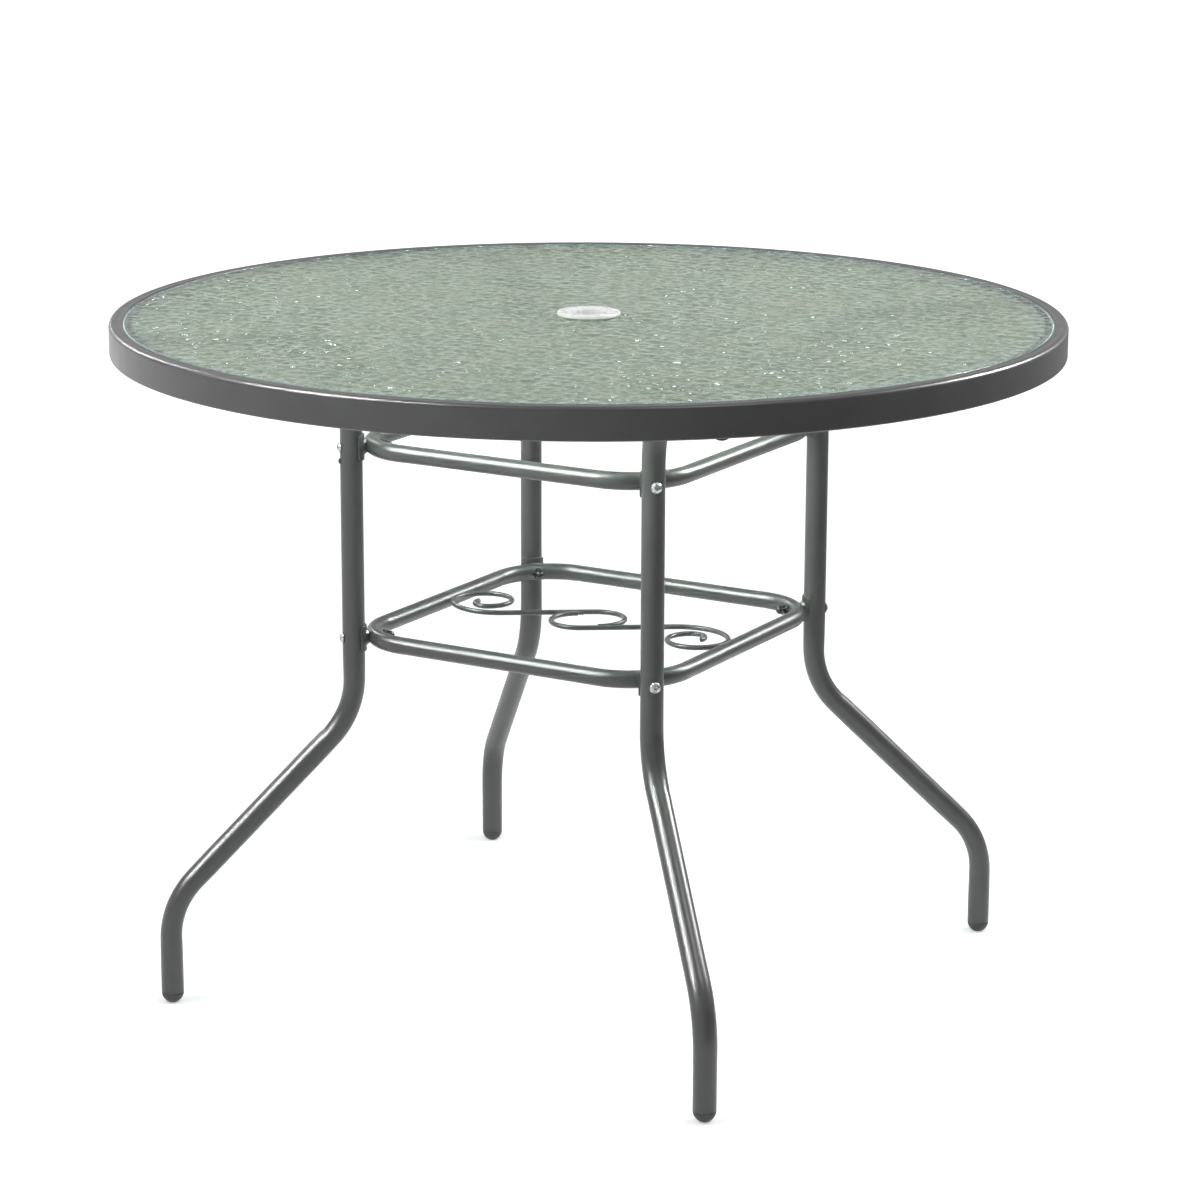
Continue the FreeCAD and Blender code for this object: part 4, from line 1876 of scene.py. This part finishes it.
@dataclass
class FrameJoints:
    """Saddles, bolts, washers and cap nuts that join a frame to the legs."""

    level: Level
    fastener: Fastener = field(default_factory=Fastener)
    upright_radius: float = 272.3
    tube_radius: float = 12.7
    sheet: float = 2.2
    saddle_height: float = 29.4
    half_wrap: float = 66.0
    corner: float = 5.0
    corner_steps: int = 8
    border_step: float = 2.0
    ease: float = 0.45
    face_loops: int = 8
    hole: float = 3.3
    bolt_length: float = 55.0
    nut_face: float = 237.945
    nut_hex: float = 5.0
    nut_height: float = 11.0
    nut_dome: float = 4.75
    washer_radius: float = 7.0
    washer: float = 1.4

    def saddle_border(self, inset: float) -> np.ndarray:
        """Draw the rounded rectangle of the saddle laid flat.

        Args:
            inset: How far the border is drawn in.

        Returns:
            Points of the border, as (round the leg, up).
        """
        middle = self.tube_radius + self.sheet / 2
        radius = self.corner - inset
        across = middle * math.radians(self.half_wrap) - inset - radius
        high = self.saddle_height / 2 - inset - radius
        rows: list[Span] = []
        for quarter, (side, end) in enumerate(((1, 1), (-1, 1), (-1, -1), (1, -1))):
            for step in range(self.corner_steps + 1):
                angle = math.radians(90 * (quarter + step / self.corner_steps))
                x = side * across + radius * math.cos(angle)
                rows.append((x, end * high + radius * math.sin(angle)))
        dense: list[np.ndarray] = []
        for here, after in zip(rows, rows[1:] + rows[:1]):
            start = np.array(here)
            gap = np.array(after) - start
            count = max(1, round(float(np.linalg.norm(gap)) / self.border_step))
            dense.extend(start + gap * index / count for index in range(count))
        return np.array(dense)

    def saddle(self) -> Shell:
        """Bend the curved plate, with rounded edges and a bolt hole.

        Returns:
            The saddle on the leg at +X, facing in.
        """
        border = self.saddle_border(0.0)
        drawn_in = self.saddle_border(self.ease)
        around = np.arctan2(border[:, 1], border[:, 0])
        hole = self.hole * np.stack([np.cos(around), np.sin(around)], axis=1)
        face = [hole + (drawn_in - hole) * share for share in np.linspace(0, 1, self.face_loops)]
        flat_loops = [(flat, 0.0) for flat in face]
        flat_loops += [(border, self.ease), (border, self.sheet - self.ease)]
        flat_loops += [(flat, self.sheet) for flat in reversed(face)]
        outer = self.tube_radius + self.sheet
        middle = self.tube_radius + self.sheet / 2
        loops = []
        for flat, depth in flat_loops:
            angle = flat[:, 0] / middle
            radius = outer - depth
            x = self.upright_radius - radius * np.cos(angle)
            loops.append(np.stack([x, radius * np.sin(angle), flat[:, 1] + self.level.value], axis=1))
        shell = Shell()
        shell.skin(loops, closed=True)
        return shell

    def pieces(self) -> list[Piece]:
        """Build the saddles of one frame, with their fasteners.

        Returns:
            The four saddles, and the bolts, washers and nuts as one piece each.
        """
        word = self.level.word
        height = self.level.value
        face = self.upright_radius + self.tube_radius
        inner = outwards(self.nut_face - self.washer, height)
        made = []
        saddle = self.saddle()
        for side in Side:
            node = word + "_saddle_" + side.word
            made.append(steel(word + "_" + side.word + "_saddle", saddle.turned(side.value), node))
        bolt = self.fastener.bolt(self.bolt_length).moved(outwards(face, height))
        disc = self.fastener.washer(self.washer_radius, self.hole, self.washer).moved(inner)
        nut = self.fastener.cap_nut(self.nut_hex, self.nut_height, self.nut_dome)
        nut = nut.moved(inner @ Matrix.Rotation(math.pi, 4, "X"))
        made.append(fastener_set(word + "_frame_bolt", bolt, ZINC, Slot.ZINC))
        made.append(fastener_set(word + "_frame_washer", disc, BLACK_PLATE, Slot.BLACK_STEEL))
        made.append(fastener_set(word + "_frame_nut", nut, BLACK_PLATE, Slot.BLACK_STEEL))
        return made


@dataclass
class RingJoints:
    """Angle brackets inside the ring, with the bolts and weld nuts that hold the arms."""

    fastener: Fastener = field(default_factory=Fastener)
    bead: Bar = Bar(1.5, segments=12, lumps=0.5, lump_size=2.2)
    bead_aside: float = 0.2
    bead_sunk: float = 0.9
    bead_start: float = 1.5
    bead_short: float = 3.0
    ring_wall: float = 532.2
    sheet: float = 2.5
    width: float = 24.0
    drop: float = 17.0
    ease: float = 0.4
    inner_end: float = 474.0
    tip: float = 0.1
    top: float = 760.7
    bend: float = 3.5
    bolt_radius: float = 488.0
    bolt_length: float = 31.0
    arm_bottom: float = 732.8
    nut_height: float = 4.0

    @property
    def wall(self) -> float:
        """Distance of the bracket's outer face, whose edges touch the ring's wall."""
        return math.sqrt(self.ring_wall**2 - (self.width / 2) ** 2)

    def bracket(self) -> Shell:
        """Sweep the bracket's strip from the end of its tongue down the ring's wall.

        Returns:
            The bracket along +X.
        """
        half = self.sheet / 2
        line = CentreLine((self.inner_end + self.tip, self.top - half), 0.0, step=1.5)
        line.run(self.wall - self.bend - self.inner_end - self.tip)
        line.bend(self.bend - half, -90).run(self.drop - self.bend)
        ease = self.ease
        end = self.width / 2
        sections = []
        for length in line.lengths:
            reach = min(length + self.tip, end)
            wide = max(math.sqrt(end**2 - (end - reach) ** 2), 2 * ease)
            sections.append([
                (half, -wide + ease), (half, wide - ease), (half - ease, wide), (ease - half, wide),
                (-half, wide - ease), (-half, ease - wide), (ease - half, -wide), (half - ease, -wide),
            ])
        shell = Shell()
        shell.rod(list(Plane.upright(0.0).lifted(line, np.array(sections))))
        return shell

    def beads(self) -> Shell:
        """Lay weld beads down both sides of the bracket's wall.

        Returns:
            The two beads along +X.
        """
        bottom = self.top - self.drop + self.bead_start
        length = self.drop - self.bend - self.bead_short
        shell = Shell()
        for hand in (-1, 1):
            middle = hand * (self.width / 2 + self.bead_aside)
            plane = Plane(np.array([self.wall - self.bead_sunk, middle, 0.0]), UP, direction(90))
            line = CentreLine((bottom, 0.0), 0.0, step=1.2).run(length)
            shell.add(self.bead.swept(line, plane))
        return shell

    def pieces(self) -> list[Piece]:
        """Build the brackets with their beads, bolts and nuts.

        Returns:
            The four brackets, and the beads, bolts and nuts as one piece each.
        """
        bracket = self.bracket()
        made = []
        for side in Side:
            node = "ring_bracket_" + side.word
            made.append(steel(side.word + "_ring_bracket", bracket.turned(side.value), node))
        made.append(steel("bracket_weld_beads", on_each_side(self.beads()), sharp_degrees=70.0))
        under_arm = Matrix.Translation((self.bolt_radius, 0, self.arm_bottom))
        bolt = self.fastener.bolt(self.bolt_length)
        bolt = bolt.moved(under_arm @ Matrix.Rotation(math.pi, 4, "X"))
        nut = self.fastener.weld_nut(self.nut_height)
        nut = nut.moved(Matrix.Translation((self.bolt_radius, 0, self.top)))
        made.append(fastener_set("ring_bolt", bolt, ZINC, Slot.ZINC))
        made.append(fastener_set("ring_nut", nut, BLACK_PLATE, Slot.BLACK_STEEL))
        return made


@dataclass
class ScrollWires:
    """Two bent wires with scrolled ends, whose hooks close to a loop round the pole."""

    radius: float = 2.9
    chamfer: float = 0.6
    height: float = 418.0
    tilt: float = 33.5
    hook: float = 33.0
    hook_start: float = 9.5
    scroll: tuple[float, ...] = (56.0, 36.0, 33.0, 28.0, 15.5)
    last_turn: float = 140.0
    overlap: float = 0.15
    frame_bead: float = 2.4
    frame_bead_shift: float = 1.6
    hook_bead: float = 2.2
    hook_bead_back: float = 2.0
    bead_length: float = 10.0
    bead_drop: float = 0.6

    @property
    def offset(self) -> float:
        """Distance of the straight run from the table's axis."""
        return self.hook + self.radius - self.overlap / 2

    def scrolled(self, line: CentreLine) -> CentreLine:
        """Draw the scroll on from the end of a line.

        Args:
            line: The line.

        Returns:
            The line.
        """
        for radius in self.scroll[:-1]:
            line.bend(radius, -90)
        return line.bend(self.scroll[-1], -self.last_turn)

    def line(self) -> CentreLine:
        """Draw the left wire, from its hook to the middle of its scroll.

        Returns:
            Its centre line, long enough to reach as far left as the CAD wire.
        """
        along = direction(self.tilt)[:2]
        aside = direction(self.tilt + 90)[:2]
        trial = self.scrolled(CentreLine(tuple(aside * self.offset), self.tilt + 180, step=1.0))
        left_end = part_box("scroll_wire_left")[0].x / MILLIMETRE + self.radius
        run = (np.array(trial.places)[:, 0].min() - left_end) / along[0]
        start = aside * (self.offset - 2 * self.hook) + along * self.hook_start
        line = CentreLine(tuple(start), self.tilt, step=2.5)
        line.bend(self.hook, 180).run(float(run) + self.hook_start)
        return self.scrolled(line)

    def beads(self) -> Shell:
        """Lay a small weld where each wire touches the frame and the other wire's hook.

        Returns:
            The four welds.
        """
        line = np.array(self.line().places)
        along = direction(self.tilt)[:2]
        aside = direction(self.tilt - 90)[:2]
        at_frame = line[line[:, 0].argmin()] - (self.frame_bead_shift, 0)
        at_hook = line[0] + aside * self.radius - along * self.hook_bead_back
        beads = Shell()
        welds = ((at_frame, 90.0, self.frame_bead), (at_hook, self.tilt, self.hook_bead))
        for middle, heading, size in welds:
            start = middle - direction(heading)[:2] * self.bead_length / 2
            path = CentreLine(tuple(start), heading, step=1.0).run(self.bead_length)
            bar = Bar(size, segments=14, chamfer=1.2, lumps=0.45, lump_size=2.6)
            beads.add(bar.swept(path, Plane.level(self.height - self.bead_drop)))
        return beads.add(beads.turned(180))

    def pieces(self) -> list[Piece]:
        """Build the two wires and their welds.

        Returns:
            The wires, and the welds as one piece.
        """
        bar = Bar(self.radius, segments=24, chamfer=self.chamfer)
        wire = bar.swept(self.line(), Plane.level(self.height))
        return [
            steel("left_scroll_wire", wire, "scroll_wire_left"),
            steel("right_scroll_wire", wire.turned(180), "scroll_wire_right"),
            steel("wire_weld_beads", self.beads(), sharp_degrees=70.0),
        ]


@dataclass
class HolePlug:
    """Small domed plug in the spare hole of the left leg."""

    head_radius: float = 3.6
    head: float = 2.0
    stem_radius: float = 2.5
    stem: float = 5.0
    stem_ease: Span = (0.5, 0.6)
    pinhole: float = 0.3
    crown: float = 86.0
    height: float = 618.4
    face: float = 285.0

    def pieces(self) -> list[Piece]:
        """Build the plug.

        Returns:
            The one piece.
        """
        ball = ball_radius(self.head_radius, self.head)
        start = math.degrees(math.asin((ball - self.head) / ball))
        across, up = self.stem_ease
        outline = Outline(self.pinhole, -self.stem).line(self.stem_radius - across, -self.stem)
        outline.line(self.stem_radius, up - self.stem).line(self.stem_radius, 0.0)
        outline.line(self.head_radius, 0.0).arc((0.0, self.head - ball), self.crown - start, 7)
        shell = spun(outline, 32, closed=False).moved(outwards(self.face, self.height))
        return [
            Piece("leg_hole_plug_button", shell.turned(Side.LEFT.value), PLUG_PLASTIC, Body.TABLE,
                  Slot.BLACK_PLASTIC, ("leg_hole_plug",))
        ]


@dataclass(frozen=True)
class Lamp:
    """Lamp of the studio, and the kinds of light that it gives nothing to."""

    name: str
    place: Place
    aim: Place
    energy: float
    size: Span = (0.0, 0.0)
    shape: str = "SQUARE"
    tint: Tint = (1.0, 1.0, 1.0)
    unseen: tuple[str, ...] = ()
    sun_degrees: float = 22.0

    def light(self) -> bpy.types.Light:
        """Make the lamp's light.

        Returns:
            A sun where the lamp has no size, and otherwise a flat area.
        """
        if not self.size[0]:
            sun = bpy.data.lights.new(self.name, "SUN")
            sun.angle = math.radians(self.sun_degrees)
            return sun
        area = bpy.data.lights.new(self.name, "AREA")
        area.shape = self.shape
        area.size, area.size_y = self.size
        return area

    def hang(self) -> None:
        """Hang the lamp, pointed at its aim."""
        light = self.light()
        light.energy = self.energy
        light.color = self.tint
        light.cycles.use_multiple_importance_sampling = "diffuse" not in self.unseen
        lamp = bpy.data.objects.new(self.name, light)
        lamp.location = self.place
        look = Vector(self.aim) - Vector(self.place)
        lamp.rotation_euler = look.to_track_quat("-Z", "Y").to_euler()
        for kind in self.unseen:
            setattr(lamp, "visible_" + kind, False)
        bpy.context.scene.collection.objects.link(lamp)


@dataclass
class Studio:
    """Pale floor, white surroundings, soft lamps, a dark flag and the camera."""

    floor_half: float = 40.0
    floor_tint: Tint = (0.8, 0.8, 0.8)
    floor_glow: Span = (0.42, 0.95)
    floor_range: Span = (0.6, 5.0)
    mirrored_floor: float = 0.75
    around: float = 0.304
    mirrored_fall: Span = (0.76, 0.096)
    fall_range: Span = (0.05, 0.42)
    mirrored_rise: float = 0.28
    rise_range: Span = (0.48, 0.7)
    camera_place: Place = (2.00671, -3.42967, 1.4585)
    camera_heading: float = 30.134
    camera_pitch: float = 14.358
    camera_roll: float = 0.215
    lens: float = 107.727
    sensor: float = 36.0
    view_end: float = 200.0
    flag_radius: float = 1.35
    flag_height: float = 0.9
    flag_middle: float = 2.0
    flag_reach: float = 82.0
    flag_rows: int = 25
    flag_darkest: float = -20.0
    flag_ends: Span = (0.62, 0.2)
    flag_least: float = 0.16

    def stand(
        self, name: str, points: Sequence[Place], faces: Sequence[tuple[int, ...]]
    ) -> tuple[bpy.types.Object, Sheet]:
        """Stand a mesh in the studio.

        Args:
            name: Name of the object, its mesh and its material.
            points: Points in metres.
            faces: The points of each face.

        Returns:
            The object, and its material's empty nodes.
        """
        mesh = bpy.data.meshes.new(name)
        mesh.from_pydata(points, [], faces)
        material = bpy.data.materials.new(name)
        material.use_nodes = True
        mesh.materials.append(material)
        made = bpy.data.objects.new(name, mesh)
        bpy.context.scene.collection.objects.link(made)
        return made, Sheet(material.node_tree)

    def floor(self) -> None:
        """Lay a pale floor that the camera, glass and metal see as white further out."""
        half = self.floor_half
        corners = [(-half, -half, 0), (half, -half, 0), (half, half, 0), (-half, half, 0)]
        sheet = self.stand("studio_floor", corners, [(0, 1, 2, 3)])[1]
        plain = sheet.add("ShaderNodeBsdfDiffuse", {"Color": colour(*self.floor_tint)})
        path = sheet.add("ShaderNodeLightPath").outputs
        shown = sheet.maths("MAXIMUM", path["Is Camera Ray"], path["Is Transmission Ray"])
        mirrored = sheet.maths("MULTIPLY", path["Is Glossy Ray"], self.mirrored_floor)
        shown = sheet.maths("MAXIMUM", shown, mirrored)
        far = sheet.spread(sheet.length(sheet.place()), *self.floor_range, *self.floor_glow)
        glow = sheet.add("ShaderNodeEmission", {"Strength": sheet.maths("MULTIPLY", shown, far)})
        both = sheet.add("ShaderNodeAddShader", {0: plain.outputs[0], 1: glow.outputs[0]})
        sheet.finish(both.outputs[0])

    def surroundings(self) -> None:
        """Light the world evenly, and show it white."""
        world = bpy.data.worlds.new("studio_surroundings")
        world.use_nodes = True
        sheet = Sheet(world.node_tree)
        path = sheet.add("ShaderNodeLightPath").outputs
        glossy = path["Is Glossy Ray"]
        seen = sheet.maths("MAXIMUM", path["Is Camera Ray"], path["Is Transmission Ray"])
        upward = sheet.upward(sheet.add("ShaderNodeTexCoord").outputs["Generated"])
        fall = sheet.spread(upward, *self.fall_range, *self.mirrored_fall)
        rise = sheet.spread(upward, *self.rise_range, 0.0, self.mirrored_rise)
        mirrored = sheet.maths("ADD", fall, rise)
        plain = sheet.maths("MULTIPLY", sheet.maths("SUBTRACT", 1.0, glossy), self.around)
        strength = sheet.maths("ADD", plain, sheet.maths("MULTIPLY", mirrored, glossy))
        strength = sheet.maths("MAXIMUM", strength, seen)
        back = sheet.add("ShaderNodeBackground", {"Color": colour(1.0, 1.0, 1.0), "Strength": strength})
        sheet.add("ShaderNodeOutputWorld", {"Surface": back.outputs[0]})
        bpy.context.scene.world = world

    def flag(self) -> None:
        """Stand a curved dark cloth at the right of the front, for mirrored light alone."""
        edges = np.linspace(-self.flag_reach, self.flag_reach, self.flag_rows)
        turns = np.radians(self.flag_middle + edges)
        rows = [
            (self.flag_radius * math.cos(turn), self.flag_radius * math.sin(turn), height)
            for turn in turns
            for height in (0.0, self.flag_height)
        ]
        faces = [(2 * i, 2 * i + 2, 2 * i + 3, 2 * i + 1) for i in range(len(turns) - 1)]
        flag, sheet = self.stand("dark_flag", rows, faces)
        for kind in ("camera", "diffuse", "transmission", "volume_scatter", "shadow"):
            setattr(flag, "visible_" + kind, False)
        turned = sheet.add("ShaderNodeSeparateXYZ", {0: sheet.place()}).outputs
        angle = sheet.maths("ARCTAN2", turned["Y"], turned["X"])
        middle = math.radians(self.flag_middle)
        reach = math.radians(self.flag_reach)
        darkest = math.radians(self.flag_darkest)
        first, last = self.flag_ends
        left = sheet.spread(angle, middle - reach, darkest, first, 0.0)
        right = sheet.spread(angle, darkest, middle + reach, 0.0, last)
        strength = sheet.maths("ADD", sheet.maths("MAXIMUM", left, right), self.flag_least)
        sheet.finish(sheet.add("ShaderNodeEmission", {"Strength": strength}).outputs[0])

    def camera(self) -> None:
        """Set up the camera at the photograph's angle."""
        data = bpy.data.cameras.new("photograph_view")
        data.lens = self.lens
        data.sensor_width = self.sensor
        data.clip_end = self.view_end
        camera = bpy.data.objects.new("photograph_view", data)
        tilt = math.radians(90 - self.camera_pitch)
        pan = math.radians(self.camera_heading)
        aim = Euler((tilt, 0.0, pan)).to_matrix().to_4x4()
        roll = Matrix.Rotation(math.radians(self.camera_roll), 4, "Z")
        camera.matrix_world = Matrix.Translation(self.camera_place) @ aim @ roll
        bpy.context.scene.collection.objects.link(camera)
        bpy.context.scene.camera = camera

    def build(self) -> None:
        """Set up the whole studio."""
        self.floor()
        self.surroundings()
        self.flag()
        for lamp in LAMPS:
            lamp.hang()
        self.camera()
        bpy.context.scene.view_settings.view_transform = "Standard"


MIDDLE = (0.0, 0.0, 0.5)
TOP_MIDDLE = (0.0, 0.0, 0.77)
MIRRORED_ONLY = ("diffuse", "transmission")
LAMPS = (
    Lamp("left_soft_box", (-1.17, -1.31, 2.1), MIDDLE, 25.0, (1.2, 1.2), unseen=("glossy",)),
    Lamp("right_soft_box", (1.37, 1.33, 1.9), MIDDLE, 25.0, (1.2, 1.2), unseen=("glossy",)),
    Lamp("left_shine", (-2.22, -2.48, 3.53), MIDDLE, 500.0, (2.6, 2.6), unseen=MIRRORED_ONLY),
    Lamp("right_shine", (2.13, 3.16, 2.78), MIDDLE, 280.0, (1.5, 1.5), unseen=MIRRORED_ONLY),
    Lamp("left_panel", (-3.76, 1.37, 2.6), TOP_MIDDLE, 60.0, (2.0, 1.5), "RECTANGLE", unseen=MIRRORED_ONLY),
    Lamp("overhead", (1.4, -0.2, 3.9), MIDDLE, 0.5),
    Lamp("left_sparkle", (-4.1, 4.9, 4.9), (-0.3, -0.2, 0.77), 10.0, (0.4, 0.4), "DISK",
         (0.84, 0.93, 1.0), ("transmission",)),
    Lamp("right_sparkle", (-2.6, 5.4, 4.7), (0.3, 0.1, 0.77), 7.5, (0.4, 0.4), "DISK",
         (0.8, 0.94, 1.0), ("transmission",)),
)


LEG_DENTS = {
    Side.LEFT: (Dent(362.0, 180.0, 0.9, 4.0, 40.0), Dent(368.0, 150.0, 0.5, 6.0, 30.0)),
    Side.FRONT: (Dent(362.0, -128.0, 0.8, 2.4, 20.0), Dent(366.0, 150.0, 0.5, 2.4, 20.0)),
    Side.RIGHT: (Dent(362.0, 180.0, 0.5, 4.0, 38.0),),
    Side.BACK: (Dent(362.0, 180.0, 0.5, 4.0, 38.0),),
}


def build_table() -> list[Piece]:
    """Build every sub-assembly in order.

    Returns:
        The pieces of the whole table.
    """
    pieces = RolledRing().pieces() + GlassPanel().pieces() + PoleRing().pieces()
    for side in Side:
        pieces += Leg(side, LEG_DENTS[side]).pieces()
    for level in Level:
        pieces += SquareFrame(level).pieces() + FrameJoints(level).pieces()
    return pieces + RingJoints().pieces() + ScrollWires().pieces() + HolePlug().pieces()


def main() -> None:
    """Dress the table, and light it."""
    logging.basicConfig(level=logging.INFO, format="%(message)s")
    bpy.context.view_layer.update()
    Studio().build()
    for piece in build_table():
        made = piece.make()
        LOG.info("%s: %d faces, on %s", made.name, len(made.data.polygons), piece.body.value)


if __name__ == "__main__":
    main()
